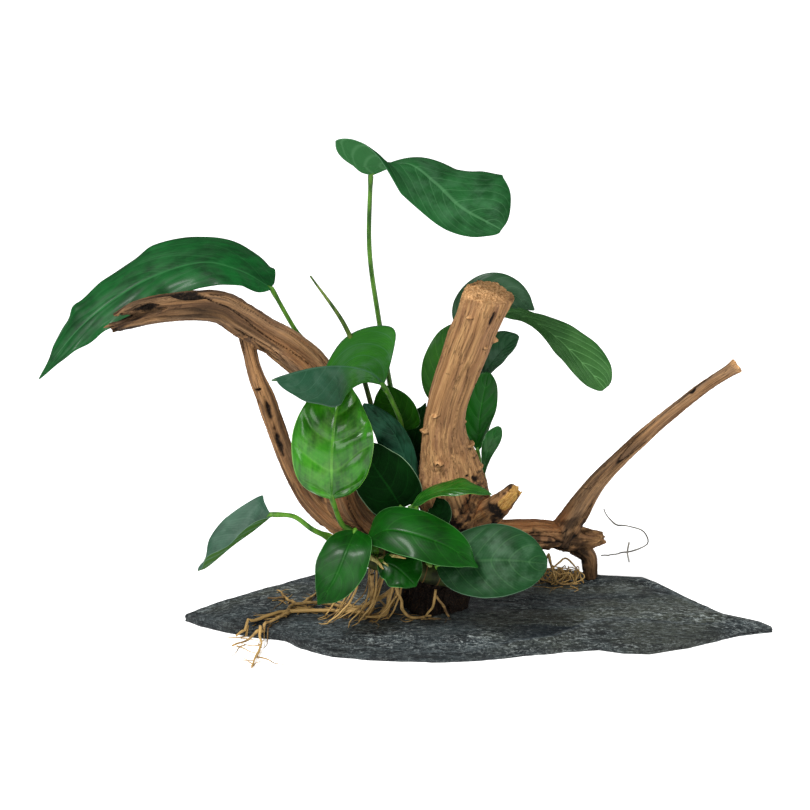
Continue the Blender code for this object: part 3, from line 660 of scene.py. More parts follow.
def wood_finish():
    """Driftwood: grain that runs along each limb, with warm, grey, dark, rust and pale on top; dark is
    mostly painted shade and pale is partly a painted highlight.
    """
    wood = Finish("driftwood_grain", Roughness=0.8, Specular_IOR_Level=0.15)
    grain = wood.vector("grain")
    rust = wood.value("rust")
    broad = wood.noise(grain, (0.2, 0.2, 0.02), 3.0, 0.55, 0.4)
    streaks = wood.noise(grain, (0.5, 0.5, 0.016), 5.0, 0.62, 0.3)
    fibres = wood.noise(grain, (2.2, 2.2, 0.05), 4.0, 0.62)
    lines = wood.noise(grain, (0.55, 0.55, 0.009), 2.0, 0.5)
    specks = wood.noise(grain, 1.4, 5.0, 0.65)
    crack = abs(lines - 0.5).between(0.016, 0.003, 0.0, 0.5)
    warm = wood.layered(
        "4a3525",
        (streaks.between(0.38, 0.64), "966d45"),
        (broad.between(0.4, 0.7, 0.0, 0.6), "54402f"),
    )
    sawn = wood.mix(specks.between(0.4, 0.6), "966a40", "d8a976")
    rotten = wood.mix(fibres.between(0.4, 0.6), "94682a", "b5914a")
    colour = wood.layered(
        "835c37",
        (streaks.between(0.36, 0.66), "b38a5a"),
        (broad.between(0.4, 0.7, 0.0, 0.5), "84604a"),
        (wood.value("warm"), warm),
        (wood.value("grey") * broad.between(0.62, 0.4), "85705c"),
        (crack, "2a1b12"),
        (fibres.between(0.57, 0.78, 0.0, 0.4), "2c1c12"),
        (fibres.between(0.45, 0.28, 0.0, 0.4), "b48f66"),
        (rust * specks.between(0.35, 0.55), "8f5426"),
        # pale: bare, sawn and broken wood, and painted highlights on the knots
        (wood.value("pale"), wood.mix(rust, sawn, rotten)),
        # dark: painted shade in cracks, grooves, hollows, pits, round knots and over the trunk's foot, with
        # darker wood at the arch's end, round the stub and at the arm's foot
        (wood.value("dark") * specks.between(0.98, 0.45, 0.5, 1.0), "0e0805"),
    )
    height = fibres * -0.7 + streaks * 0.8 + specks * 0.35 - crack * 0.8
    return wood.material_of(colour, height, 1.1, 1.0)


def slate_finish():
    """Slate: dark blue-grey, with streaks along the slab, greenish patches, scratches and flecks."""
    slate = Finish("slate_cleft", Specular_IOR_Level=0.2)
    at = slate.object_place()
    broad = slate.noise(at, (22, 60, 160), 5.0, 0.62, 0.8)
    green = slate.noise(at, (14, 30, 30), 3.0, 0.55)
    streaks = slate.noise(at, (60, 380, 900), 6.0, 0.65, 0.6)
    scratches = slate.noise(at, (120, 1700, 1700), 3.0, 0.6, 1.4)
    grit = slate.noise(at, 800, 6.0, 0.75)
    flecks = slate.noise(at, (300, 850, 850), 7.0, 0.74, 0.8)
    clusters = slate.noise(at, (12, 26, 26), 4.0, 0.6, 0.6)
    colour = slate.layered(
        "090e11",
        (broad.between(0.36, 0.62), "30383a"),
        (green.between(0.45, 0.62, 0.0, 0.75), "40443a"),
        (streaks.between(0.52, 0.68, 0.0, 0.6), "4c5456"),
        (streaks.between(0.47, 0.32, 0.0, 0.75), "0d1213"),
        (scratches.between(0.6, 0.68, 0.0, 0.6), "7a8182"),
        (grit.between(0.56, 0.66, 0.0, 0.8), "7d8484"),
        (grit.between(0.45, 0.36, 0.0, 0.8), "0a0e0f"),
        # A painted highlight along the top edge, broken up by the grit
        (slate.value("worn") * grit.between(0.4, 0.6), "565e60"),
        (flecks.between(0.5, 0.4, 0.0, 0.8), "0a0f12"),
        (flecks.between(0.53, 0.6) * clusters.between(0.4, 0.6, 0.25, 0.85), "8a918f"),
        (slate.value("layers") * 0.6, "0b0f11"),
        (slate.value("ledge") * 0.6, "17232e"),
    )
    roughness = broad.between(0.3, 0.7, 0.42, 0.7)
    return slate.material_of(colour, streaks * 0.9 + grit * 0.5, 1.4, 1.0, roughness)


def root_finish(name, dark, light):
    """Roots: each strand has a tint of its own, with fine dark flecks."""
    root = Finish(name, Roughness=0.65, Specular_IOR_Level=0.35)
    at = root.object_place()
    tone = root.noise(at, 260, 4.0, 0.6) + root.value("tint") * 0.45
    fine = root.noise(at, 1500, 3.0, 0.6)
    flecks = fine.between(0.55, 0.75, 0.0, 0.4)
    colour = root.layered(dark, (tone.between(0.35, 0.85), light), (flecks, dark))
    return root.material_of(colour, fine, 0.25, 0.7)


def rhizome_finish():
    """A rhizome: dark green, with a brown ring wherever an old leaf came off."""
    skin = Finish("rhizome_skin", Roughness=0.6, Specular_IOR_Level=0.12)
    at = skin.object_place()
    tone = skin.noise(at, 150, 5.0, 0.6).between(0.35, 0.65)
    scar = skin.value("scar").between(0.3, 0.9, 0.0, 0.8)
    colour = skin.layered("14180a", (tone, "343c18"), (scar, "5a4023"))
    return skin.material_of(colour, skin.noise(at, 800), 0.4, 0.7)


def bract_finish():
    """Dry bracts: straw-coloured fibres, browner towards the tip."""
    bract = Finish("dry_bract", Roughness=0.7, Specular_IOR_Level=0.15)
    fibre = bract.noise(bract.object_place(), 700, 4.0, 0.6)
    tip = bract.value("along").between(0.5, 1.0)
    colour = bract.layered("6d6a35", (fibre.between(0.35, 0.65), "b3ab6e"), (tip, "a98f55"))
    return bract.material_of(colour, fibre, 0.2, 0.5)


# Leaves


@dataclass
class Look:
    """How a blade's surface differs from a plain one.

    arch is how far each half bends down, wave how high the margin's waves are and quilt how far the
    blade puffs up between its side veins. sweep is how far those veins run forward. roll curls the
    right lobe up, blunt rounds the tip, halves widens either half and base fills out the base.
    """

    arch: float = 0.1
    wave: float = 0.7
    waves: float = 2.5
    quilt: float = 0.3
    veins: float = 7
    sweep: float = 0.3
    roll: float = 0.0
    blunt: float = 0.0
    halves: tuple = (1, 1)
    base: float = 0.0


LOOKS = {
    "top": Look(wave=0.8, waves=2.2, quilt=0.5, veins=9, sweep=0.45, roll=11.0, blunt=0.8, halves=(0.9, 1)),
    "over_arch": Look(arch=0.16, wave=1.8, waves=3.0, quilt=0.25, veins=5, sweep=0.5),
    "folded": Look(arch=0.08, wave=0.5, waves=1.6, quilt=0.2, sweep=0.45, blunt=0.7),
    "bright": Look(arch=0.12, waves=2.0, quilt=1.7, veins=4.4, sweep=0.24),
    "front_right": Look(waves=2.0, quilt=0.35, veins=6, blunt=0.8),
    "right_long": Look(wave=0.8, waves=3.0, quilt=0.5, veins=8, sweep=0.5, blunt=1.0, base=0.5),
    "trunk_top": Look(veins=5, blunt=0.3, halves=(1.55, 1)),
    "right_high": Look(quilt=0.5, sweep=0.4, blunt=0.6),
    "right_middle": Look(wave=1.2, waves=2.0, veins=5, blunt=0.8),
    "right_low": Look(veins=4, blunt=0.8),
    "trunk_left_high": Look(veins=6, blunt=0.8),
    "dark_middle": Look(quilt=0.2, veins=6, blunt=0.7),
    "dark_curled": Look(wave=1.4, waves=2.0, quilt=0.5, veins=5, blunt=0.6),
    "front_middle": Look(arch=0.16, wave=0.9, waves=2.0, quilt=0.1, veins=5),
    "front_left": Look(arch=0.12, wave=0.6, waves=2.0, quilt=0.1, veins=5),
    "front_low": Look(arch=0.12, wave=1.4, quilt=0.1, veins=5),
    "low_left": Look(wave=1.8, waves=1.8, quilt=0.12, veins=5, blunt=0.5),
}
PLAIN_LOOK = Look()

BLADE_COLUMNS = 41
BLADE_STATION_SPACING = 1.0
BLADE_LEAST_STATIONS = 24
RIM_THICKNESS = 0.22
MIDDLE_THICKNESS = 0.55
MIDRIB_DEPTH = 0.75
GROOVE_DEPTH = 0.3
TIP_START = 0.86
# Size in millimetres and seed of the noise that bends the side veins
VEIN_WANDER = (14, 5)
STALK_SIDES = 14
STALK_SPACING = 1.5
# How far a stalk runs on into its blade, and how thin it is there
STALK_ENTRY = 2.5
ENTRY_RADIUS = 0.55
SPEAR_STATIONS = 90
SPEAR_SIDES = 24


def blade_outline(share, widest, blunt):
    """Half-width of a blade as a share of its widest, drawn out to a point unless the tip is blunt."""
    shifted = share ** (math.log(0.5) / math.log(widest))
    drawn_out = 1 - 0.45 * (1 - blunt) * smooth_step(share, TIP_START, 1.0)
    near_tip = smooth_step(share, 0.4, 0.9)
    return np.sin(math.pi * shifted) ** (BLADE_POINTEDNESS - 0.33 * blunt * near_tip) * drawn_out


class Sheet:
    """The middle of a blade's thickness as a grid of places, with what the finish needs to know."""

    def __init__(self, leaf, look):
        self.look = look
        self.length = length_of(leaf.rib)
        self.stations = int(BLADE_LEAST_STATIONS + self.length / BLADE_STATION_SPACING)
        even = np.linspace(0, 1, self.stations)
        closer_at_ends = (1 - np.cos(math.pi * even)) / 2
        self.share = BLADE_END + (1 - 2 * BLADE_END) * (even + closer_at_ends) / 2
        self.across = np.linspace(-1, 1, BLADE_COLUMNS)
        self.reach = np.abs(self.across)
        self.fade = (smooth_step(self.share, 0.0, 0.08) * smooth_step(self.share, 1.0, 0.9))[:, None]
        self.lay_out(leaf)
        self.lift = np.zeros((self.stations, BLADE_COLUMNS))
        self.shape_halves(leaf)
        self.shape_veins(leaf)
        self.wave_margin()
        self.middle += self.normal[:, None] * self.lift[..., None]

    def lay_out(self, leaf):
        """Stations along the midrib and, on both sides of it, the flat width of the blade."""
        rib = smooth_path(leaf.rib, FINE_STEPS + 1)
        self.tangent = unit(blend(np.gradient(rib, axis=0), self.share))
        face = blend(leaf.face, self.share)
        self.normal = unit(face - self.tangent * (face * self.tangent).sum(1, keepdims=True))
        right = np.cross(self.tangent, self.normal)
        self.side = (self.across > 0).astype(int)
        outlines = [self.half_outline(leaf, half) for half in (0, 1)]
        self.width = np.stack([outlines[half] for half in self.side], 1)
        self.rise = np.radians(blend(leaf.fold, self.share))[:, self.side]
        sideways = np.cos(self.rise) * self.across * self.width
        self.middle = blend(rib, self.share)[:, None] + right[:, None] * sideways[..., None]

    def half_outline(self, leaf, half):
        """Width of the left or the right half at each station, never less than the look's wide base."""
        outline = blade_outline(self.share, leaf.widest[half], self.look.blunt)
        full_base = np.sqrt(np.minimum(self.share / 0.15, 1 - self.share))
        return leaf.half[half] * self.look.halves[half] * np.maximum(outline, self.look.base * full_base)

    def shape_halves(self, leaf):
        """The fold at the midrib, the arch of each half and the lobes at the base."""
        soft_fold = np.sqrt(self.reach**2 + 0.01) - 0.1
        self.lift += (np.sin(self.rise) * soft_fold - self.look.arch * self.reach**2) * self.width
        near_base = np.sin(math.pi * np.minimum(self.share / LOBE_SHARE, 1))[:, None]
        lobe = np.array(leaf.lobe, float)[self.side] * self.reach * near_base
        rise = np.array(leaf.lobe_rise, float)[self.side] * self.reach**1.5 * near_base
        curled = self.look.roll * smooth_step(self.reach, 0.5, 1.0) * near_base * self.side
        self.lift += rise + curled
        self.middle -= self.tangent[:, None] * (lobe - 0.7 * curled)[..., None]

    def shape_veins(self, leaf):
        """Side veins that curve forward from the midrib, with the blade puffed up between them."""
        share = self.share[:, None]
        self.flat = np.stack(np.broadcast_arrays(share * self.length, self.across * self.width, 0.0), -1)
        # Blades whose names differ in length wander differently
        self.wander = noise(self.flat + 31 * len(leaf.name), *VEIN_WANDER)
        spread = share - self.look.sweep * self.reach**1.35
        self.vein = self.look.veins * spread + 0.18 * self.wander
        to_vein = np.abs(self.vein - np.floor(self.vein) - 0.5) * 2
        inside = np.sqrt(np.minimum(self.reach * 3, 1)) * smooth_step(self.reach, 1.0, 0.75)
        self.lift += self.look.quilt * (1 - to_vein**2.2) * inside * self.fade
        self.lift -= GROOVE_DEPTH * smooth_step(self.reach, 0.06, 0.0) * self.fade

    def wave_margin(self):
        """Waves along the margin, out of step with each other on the two halves."""
        turn = math.tau * self.look.waves * self.share[:, None] + 1.3 * np.sign(self.across)
        ripple = np.sin(turn + 2 * self.wander)
        self.lift += self.look.wave * self.reach**2.5 * ripple * self.fade


def build_blade(leaf, finish):
    """A blade: the sheet given its thickness, with a groove over the midrib and a ridge under it."""
    sheet = Sheet(leaf, LOOKS.get(leaf.name, PLAIN_LOOK))
    skins = unit(np.cross(np.gradient(sheet.middle, axis=1), np.gradient(sheet.middle, axis=0)))
    thick = MIDDLE_THICKNESS + (RIM_THICKNESS - MIDDLE_THICKNESS) * sheet.reach**2
    rib_depth = MIDRIB_DEPTH * smooth_step(sheet.reach, 0.08, 0.0) * (1 - sheet.share[:, None]) ** 0.6
    upper = sheet.middle + skins * (thick / 2)[None, :, None]
    lower = sheet.middle - skins * (thick / 2 + rib_depth)[..., None]

    def both_sides(above, below):
        """Values across the upper side and, the other way round, across the lower one."""
        return np.concatenate([above, below[:, ::-1]], axis=1).reshape(-1, *above.shape[2:])

    shape = sheet.vein.shape
    across = np.broadcast_to(sheet.across, shape)
    along = np.broadcast_to(sheet.share[:, None], shape)
    values = {
        "across": both_sides(across, across),
        "vein": both_sides(sheet.vein, sheet.vein),
        "under": both_sides(np.zeros(shape), np.ones(shape)),
        "along": both_sides(along, along),
        "flat": both_sides(sheet.flat, sheet.flat),
    }
    faces = tube_faces(sheet.stations, 2 * BLADE_COLUMNS)
    blade = mesh_of("blade_" + leaf.name, both_sides(upper, lower), faces, values)
    place(blade, finish, "leaf_" + leaf.colour, "leaf_" + leaf.name)


def rhizome_path(name, count):
    return smooth_path([(*point, RHIZOME_RADIUS) for point in RHIZOMES[name]], count)


def build_stalk(leaf, finish):
    """A leaf's stalk, with a sheath at its foot and a slight swelling under the blade."""
    heart = rhizome_path(leaf.rhizome, FINE_STEPS + 1)[round(leaf.at * FINE_STEPS)][:3]
    out = unit(np.array(leaf.leaves, float))
    first = heart + out * RHIZOME_RADIUS * 0.6
    second = heart + out * (RHIZOME_RADIUS + STEM_RISE)
    places = [np.array(spot, float) for spot in (first, second, *leaf.stem, leaf.rib[0])]
    length = length_of(places)
    count = int(8 + length / STALK_SPACING)
    along = np.linspace(0, length, count)
    radius = STEM_RADIUS + (STEM_TIP_RADIUS - STEM_RADIUS) * along / length
    radius += 0.7 * smooth_step(along, 14, 6) - 0.4 * smooth_step(along, 7, 0)
    radius += 0.25 * smooth_step(along, length - 7, length - 3)
    base = places[-1]
    entry = base + unit(np.array(leaf.rib[1], float) - base) * STALK_ENTRY
    path = np.vstack([smooth_path(places, count), entry])
    groove = 1 - 0.09 * np.cos(3 * turns(STALK_SIDES))
    radius = np.append(radius, ENTRY_RADIUS)
    stalk = Pile()
    stalk.add_tube(np.column_stack([path, radius]), STALK_SIDES, groove)
    place(stalk.mesh("stalk_" + leaf.name), finish, "stem", "leaf_" + leaf.name + "_stem")


def build_spear(finish):
    """The rolled new leaf: its edge runs up the roll as a thin step."""
    along = np.linspace(0, 1, SPEAR_STATIONS)[:, None]
    around = np.linspace(0, 1, SPEAR_SIDES, endpoint=False)
    roll = (around - 0.35 * along) % 1.0
    step = 0.9 + 0.15 * roll * smooth_step(along, 0.15, 0.3)
    spear = Pile()
    spear.add_tube(smooth_path(SPEAR, SPEAR_STATIONS), SPEAR_SIDES, step)
    place(spear.mesh("rolled_new_leaf"), finish, "leaf_olive", "new_leaf_spear")


# Rhizomes and their dry bracts

BRACTS = (
    # where it starts and ends, width
    ((-56, -29, 46), (-48, -38, 42), 3.6),
    ((-54, -29, 45), (-40, -40, 38), 3.2),
    ((-50, -28, 44), (-37, -36, 47), 2.6),
    ((-62, -26, 50), (-60, -35, 56), 2.6),
    ((-44, -28, 40), (-34, -35, 33), 2.8),
    ((-66, -24, 50), (-74, -32, 58), 2.4),
)
BRACT_BULGE = (0, -1.5, 2)
BRACT_STATIONS = 18
BRACT_SIDES = 10
RHIZOME_STATIONS = 120
RHIZOME_SIDES = 28
SCAR_SPACING = 14
# Size in millimetres and seed of the rhizomes' lumps
RHIZOME_LUMPS = (6, 3)


def build_rhizomes(skin, dry):
    """The creeping stems, ringed by old leaf scars, and the dry bracts on the front one."""
    for name in RHIZOMES:
        path = rhizome_path(name, RHIZOME_STATIONS)
        uneven = 0.97 + 0.1 * noise(tube_points(path, RHIZOME_SIDES), *RHIZOME_LUMPS)
        ring = np.abs(((np.arange(RHIZOME_STATIONS) / SCAR_SPACING) % 1) - 0.5) * 2
        scar = smooth_step(ring, 0.8, 1.0)[:, None] + np.zeros(RHIZOME_SIDES)
        rhizome = Pile()
        rhizome.add_tube(path, RHIZOME_SIDES, uneven + 0.07 * scar, scar=scar.ravel())
        place(rhizome.mesh(name + "_skin"), skin, "rhizome", name)
    scales = Pile()
    flattened = 0.25 + 0.75 * np.abs(np.cos(turns(BRACT_SIDES)))
    for start, end, width in BRACTS:
        bulge = (np.array(start) + end) / 2 + BRACT_BULGE
        path = smooth_path([start, bulge, end], BRACT_STATIONS)
        radius = width / 2 * (1 - np.linspace(0, 1, BRACT_STATIONS)) ** 0.5 + 0.12
        scales.add_tube(np.column_stack([path, radius]), BRACT_SIDES, flattened)
    place(scales.mesh("dry_bracts"), dry, "rhizome")


# Driftwood

# Size of the grid on which limbs are run together, and how many times the result is smoothed
VOXEL = 0.55
SOFTENING = 4
LIMB_SIDES = 40
LIMB_SPACING = 2.5
CUTTER_RINGS = 14
CUTTER_SIDES = 20
# How far one limb's grain starts from the one before it, so that no two look the same
GRAIN_APART = 400
WOOD_GROUPS = {
    "trunk_wood": ("driftwood_trunk", "driftwood_base", "driftwood_stub"),
    "arch_wood": ("driftwood_arch", "driftwood_strut"),
    "branch_wood": ("driftwood_arm", "driftwood_foot", "driftwood_branch"),
}
# Depth of the weathered grain in millimetres, and how brown and how grey each limb is from 0 to 1
WEATHER = {
    "driftwood_trunk": (0.45, 0.0, 0.1),
    "driftwood_base": (1.1, 0.6, 0.0),
    "driftwood_stub": (0.7, 0.8, 0.0),
    "driftwood_arch": (1.1, 0.75, 0.35),
    "driftwood_strut": (1.1, 0.85, 0.1),
    "driftwood_arm": (1.0, 0.4, 0.1),
    "driftwood_foot": (1.0, 0.9, 0.2),
    "driftwood_branch": (0.4, 0.55, 0.4),
}
# How far the fibres of a broken end stand out
RAGGED_ENDS = {
    "driftwood_trunk": 1.0,
    "driftwood_arch": 6.0,
    "driftwood_stub": 3.0,
    "driftwood_arm": 2.5,
    "driftwood_branch": 0.5,
}
# Stumps of twigs: place, radius, height and how deep a pit is in the middle
KNOTS = (
    ((-22.8, -19, 115.7), 1.6, 1.5, 0.3),
    ((-28, -16, 106), 1.7, 1.3, 1.0),
    ((-20.6, -17, 90), 1.9, 1.9, 0.9),
    ((-5.6, -10.5, 109.2), 2.0, 1.2, 0.2),
    ((-5.2, -7, 97), 1.9, 0.8, 0.0),
    ((-4.0, -6, 92), 1.6, 0.9, 0.2),
    ((-1.2, -4, 84.8), 2.0, 0.9, 0.0),
    ((-13.2, -26, 138.4), 0.9, 1.1, 0.0),
    ((-16.4, -25, 138.6), 0.8, 1.0, 0.0),
    ((5.5, -24, 154.9), 2.0, 1.3, 0.2),
    ((0.6, -31, 152.8), 1.3, 1.0, 0.0),
    ((-6.6, -38, 168.9), 1.3, 1.2, 0.0),
    ((56.0, 24, 63.4), 1.3, 1.0, 0.4),
)
# Slots, cracks and hollows: from, to, radius, depth
HOLLOWS = (
    ((5.2, -44, 172.5), (2.2, -42, 163.0), 1.1, 1.6),
    ((3.0, -42, 166.0), (-0.6, -40, 156.0), 0.8, 1.3),
    ((-4.2, -17, 82.6), (0.6, -17, 79.4), 2.2, 1.6),
    ((-7, -18, 84), (-6.0, -18, 82.0), 1.2, 1.2),
    ((-20.2, -20, 88.4), (-19.5, -20, 88.0), 0.8, 1.0),
    ((-108.6, -5, 122.4), (-103.0, -6, 104.8), 1.6, 3.0),
    ((-104.0, -6, 107.8), (-98.0, -6, 88.8), 1.5, 3.0),
    ((-111.3, -4, 124.2), (-110.8, -4, 122.4), 1.7, 3.4),
    ((-170.5, -6, 165.0), (-158.5, -7, 167.7), 1.7, 2.8),
    ((-158, -8, 166.0), (-153, -8, 164.6), 0.5, 1.2),
    ((-153, -3, 172.2), (-135, -3, 171.2), 1.2, 2.4),
    ((-138, -9, 160.3), (-123, -9, 155.0), 0.7, 1.6),
    ((-148, -9, 166.0), (-128, -9, 163.0), 0.5, 1.2),
    ((-110.5, -8, 148.4), (-108.5, -8, 147.4), 0.8, 1.6),
    ((74.6, 23, 85.6), (79.4, 23, 90.4), 1.1, 1.8),
    ((106.4, 21, 114.6), (111.4, 21, 119.4), 1.1, 1.8),
    ((101.6, 21, 110.2), (103.4, 21, 111.8), 0.8, 1.2),
    ((55.6, 24, 63.0), (56.8, 24, 64.4), 0.8, 1.2),
    ((20, 6, 40), (30, 14, 38), 1.8, 2.2),
    ((38, 20, 31), (46, 27, 28), 2.2, 2.4),
    ((30, 14, 34), (33, 17, 31), 1.6, 2.0),
)
# What is cut out of the arch's broken end: from, to, radius and how many times deeper than wide
ARCH_END = (
    ((-196, -3, 157.6), (-171, -3, 161.8), 3.4, 5.0),
    ((-180, -7, 160), (-154, -6, 166.5), 2.8, 1.3),
    ((-176, 3, 165), (-150, 2, 170.5), 2.2, 1.2),
)
CRUMBLY_TOP = 74
SHADED_HOLLOWS_END = 16
SHADED_FOOT_END = 24
TRUNK_CUT = 177.5
WORN_CORNER = (-8.5, -25, 185)
STUB_FACE = ((11.5, -18, 69.5), (18.5, -19, 77.5))
# Marks are matched less closely from front to back, so that each one meets the limb's skin
SHALLOW = np.array((1, 0.4, 1))
# Patterns in the wood: size of the bumps in millimetres, seed and octaves. Where there are three
# sizes, the last one is along the grain.
SWELL = ((5, 5, 45), 31, 3)
FIBRES = ((2.2, 2.2, 40), 41, 3)
CRACKS = ((5.5, 5.5, 70), 51, 2)
PITS = (3.2, 61, 4)
ROT = (8, 67, 3)
WOOD_GRIT = (1.6, 71, 2)
RUST = (7, 81, 3)
FRAYED = (4, 91, 3)
FRAYED_FIBRES = ((1.2, 1.2, 9), 95, 3)
SAWN = (2.2, 97, 3)
TORN = (3, 98, 3)
TONES = (30, 99, 2)
KNOT_EDGES = (1.6, 99, 2)
HOLLOW_EDGES = (2.5, 103, 2)
ARM_PITS = (5, 105, 3)
ARCH_STREAKS = ((2.6, 2.6, 50), 107, 3)
WARM_BANDS = ((9, 9, 90), 109, 3)
LIMB_LUMPS = (16, 7, 2)
# These two have no octaves
BROKEN_FIBRES = (1.6, 11)
CUTTER_LUMPS = (3, 23)


def limb_solid(pile, name):
    """A limb as a closed tube with shallow flutes, ragged where it broke off."""
    length = length_of(WOOD[name])
    count = int(length / LIMB_SPACING) + 4
    path = smooth_path(WOOD[name], count)
    turn = turns(LIMB_SIDES)
    along = np.linspace(0, length, count)[:, None]
    flutes = 0.05 * np.sin(3 * turn + along / 26) + 0.03 * np.sin(5 * turn - along / 17)
    lumps = 0.09 * rough(tube_points(path, LIMB_SIDES), *LIMB_LUMPS)
    rings = tube_points(path, LIMB_SIDES, 1 + flutes + lumps)
    if name in RAGGED_ENDS:
        tangent = unit(path[-1, :3] - path[-2, :3])
        ragged = noise(np.column_stack([np.cos(turn) * 3, np.sin(turn) * 3, 0 * turn]), *BROKEN_FIBRES)
        rings[-1] += tangent * (ragged * RAGGED_ENDS[name])[:, None]
    last = (count - 1) * LIMB_SIDES
    centre = count * LIMB_SIDES
    fan = [[last + i, last + (i + 1) % LIMB_SIDES, centre] for i in range(LIMB_SIDES)]
    pile.add(np.vstack([rings.reshape(-1, 3), path[-1, :3]]), tube_faces(count, LIMB_SIDES)[:-1] + fan)


def cut_out(made, start, end, radius, depth):
    """Cuts a tapering hollow out of a piece; depth stretches it from front to back."""
    path = smooth_path([(*start, radius), (*end, radius * 0.3)], CUTTER_RINGS)
    lumps = 0.3 * noise(tube_points(path, CUTTER_SIDES), *CUTTER_LUMPS)
    rings = tube_points(path, CUTTER_SIDES, 1 + lumps)
    middle = path[:, None, 1]
    rings[..., 1] = middle + (rings[..., 1] - middle) * depth
    cutter = mesh_of("hollow", rings, tube_faces(CUTTER_RINGS, CUTTER_SIDES))
    outward(cutter)
    cut = made.modifiers.new("hollow", "BOOLEAN")
    cut.operation = "DIFFERENCE"
    cut.use_self = True
    cut.object = cutter
    return cutter


def triples(items, key):
    """The three numbers that each of a mesh's items has under a key."""
    values = np.empty(len(items) * 3)
    items.foreach_get(key, values)
    return values.reshape(-1, 3)


def fused(names):
    """Points, normals and faces of limbs run together into one skin."""
    pile = Pile()
    for name in names:
        limb_solid(pile, name)
    made = pile.mesh("limbs")
    outward(made)
    helpers = [made]
    if "driftwood_arch" in names:
        helpers += [cut_out(made, *hollow) for hollow in ARCH_END]
    skin = made.modifiers.new("skin", "REMESH")
    skin.mode = "VOXEL"
    skin.voxel_size = VOXEL * MM
    made.modifiers.new("soften", "SMOOTH").iterations = SOFTENING
    mesh = made.evaluated_get(bpy.context.evaluated_depsgraph_get()).to_mesh()
    points = triples(mesh.vertices, "co") / MM
    normals = triples(mesh.vertices, "normal")
    faces = [list(face.vertices) for face in mesh.polygons]
    for helper in helpers:
        bpy.data.objects.remove(helper)
    return points, normals, faces


def grain_of(points, names):
    """For each point: its place in its limb's grain and that limb's depth, brown and grey."""
    samples = []
    for number, name in enumerate(names):
        length = length_of(WOOD[name])
        count = int(length) + 2
        path = smooth_path(WOOD[name], count)
        _, first, second = tube_frames(path)
        along = np.linspace(0, length, count) + GRAIN_APART * number
        weather = np.tile(WEATHER[name], (count, 1))
        samples.append(np.column_stack([path, first, second, along, weather]))
    samples = np.concatenate(samples)
    radii = samples[:, 3]
    tree = KDTree(len(samples))
    for index, sample in enumerate(samples):
        tree.insert(sample[:3], index)
    tree.balance()
    nearest = []
    for point in points:
        hits = tree.find_n(point, 3)
        nearest.append(min(hits, key=lambda hit: hit[2] / radii[hit[1]])[1])
    own = samples[nearest]
    away = points - own[:, :3]
    sideways = (away * own[:, 4:7]).sum(1)
    upwards = (away * own[:, 7:10]).sum(1)
    return np.column_stack([sideways, upwards, own[:, 10]]), *own[:, 11:].T


def off_line(points, start, end):
    """For each point, its distance from the line between two places and its share of the way along."""
    points, start, end = points * SHALLOW, np.array(start) * SHALLOW, np.array(end) * SHALLOW
    line = end - start
    share = np.clip(((points - start) @ line) / (line @ line), 0, 1)
    return np.linalg.norm(points - start - share[:, None] * line, axis=1), share


class Skin:
    """The skin of limbs run together: how far weather moved each point, and what it looks like there."""

    def __init__(self, names):
        self.points, self.normals, self.faces = fused(names)
        self.grain, depth, self.warm, self.grey = grain_of(self.points, names)
        fibre = ridged(self.grain, *FIBRES)
        cracks = smooth_step(ridged(self.grain, *CRACKS), 0.955, 0.99)
        grooves = smooth_step(fibre, 0.66, 0.4)
        self.move = depth * (0.7 * rough(self.grain, *SWELL) + 1.2 * (fibre - 0.75) - 1.4 * cracks)
        self.move += 0.12 * rough(self.points, *WOOD_GRIT)
        # Painted shade in the cracks and in the grooves between the fibres, darker on browner limbs
        self.dark = 0.9 * cracks * (0.35 + self.warm) + 0.45 * grooves * (0.3 + self.warm)
        self.rust = np.zeros(len(self.points))
        self.pale = np.zeros(len(self.points))

    def lighten(self, share):
        """Makes the wood pale where it isn't as pale as this yet: bare wood, and on the knots a painted
        highlight.
        """
        self.pale = np.maximum(self.pale, share)


def weather_trunk(skin):
    """The crumbly base, the frayed cut at the top and the broken face of the stub."""
    pits = rough(skin.points, *PITS)
    rot = rough(skin.points, *ROT)
    crumble_base(skin, pits, rot)
    fray_cut(skin)
    break_stub(skin, pits + rot)
    skin.warm = skin.warm + 0.35 * patches(skin.grain, WARM_BANDS, -0.05, 0.35)


def crumble_base(skin, pits, rot):
    """The soft, pitted wood low on the trunk, with painted shade in its hollows and all over its foot, and
    rusty higher up.
    """
    x, _, z = skin.points.T
    crumbly = smooth_step(z, CRUMBLY_TOP + 6, CRUMBLY_TOP - 18)
    skin.move += crumbly * (0.9 + pits + 1.2 * rot)
    # Painted shade where the crumbly wood is hollowed
    skin.dark += crumbly * smooth_step(z, 76, 66) * smooth_step(rot + 0.6 * pits, 0.12, -0.06)
    # More painted shade in the hollows lower down and over the whole foot under the leaves; the arm on the
    # right stays lighter than the foot of the trunk
    skin.dark += smooth_step(z, 62, 40) * smooth_step(rot, 0.4, 0.0) * (x < SHADED_HOLLOWS_END)
    skin.dark += smooth_step(z, 40, 32) * (x < SHADED_FOOT_END)
    skin.rust += crumbly * smooth_step(z, 40, 56) * patches(skin.points, RUST, -0.1, 0.3)


def fray_cut(skin):
    """The pale sawn top, with loose fibres round it and a worn corner."""
    z = skin.points[:, 2]
    top = smooth_step(z, TRUNK_CUT - 1, TRUNK_CUT + 1)
    fray = smooth_step(z, TRUNK_CUT - 7, TRUNK_CUT - 1)
    skin.pale += 0.9 * top + 0.8 * fray * patches(skin.points, FRAYED, -0.2, 0.3)
    skin.move += fray * (0.9 * ridged(skin.grain, *FRAYED_FIBRES) - 0.8)
    skin.move += 0.6 * top * rough(skin.points, *SAWN)
    skin.move -= 3.2 * smooth_step(np.linalg.norm(skin.points - WORN_CORNER, axis=1), 8, 2)


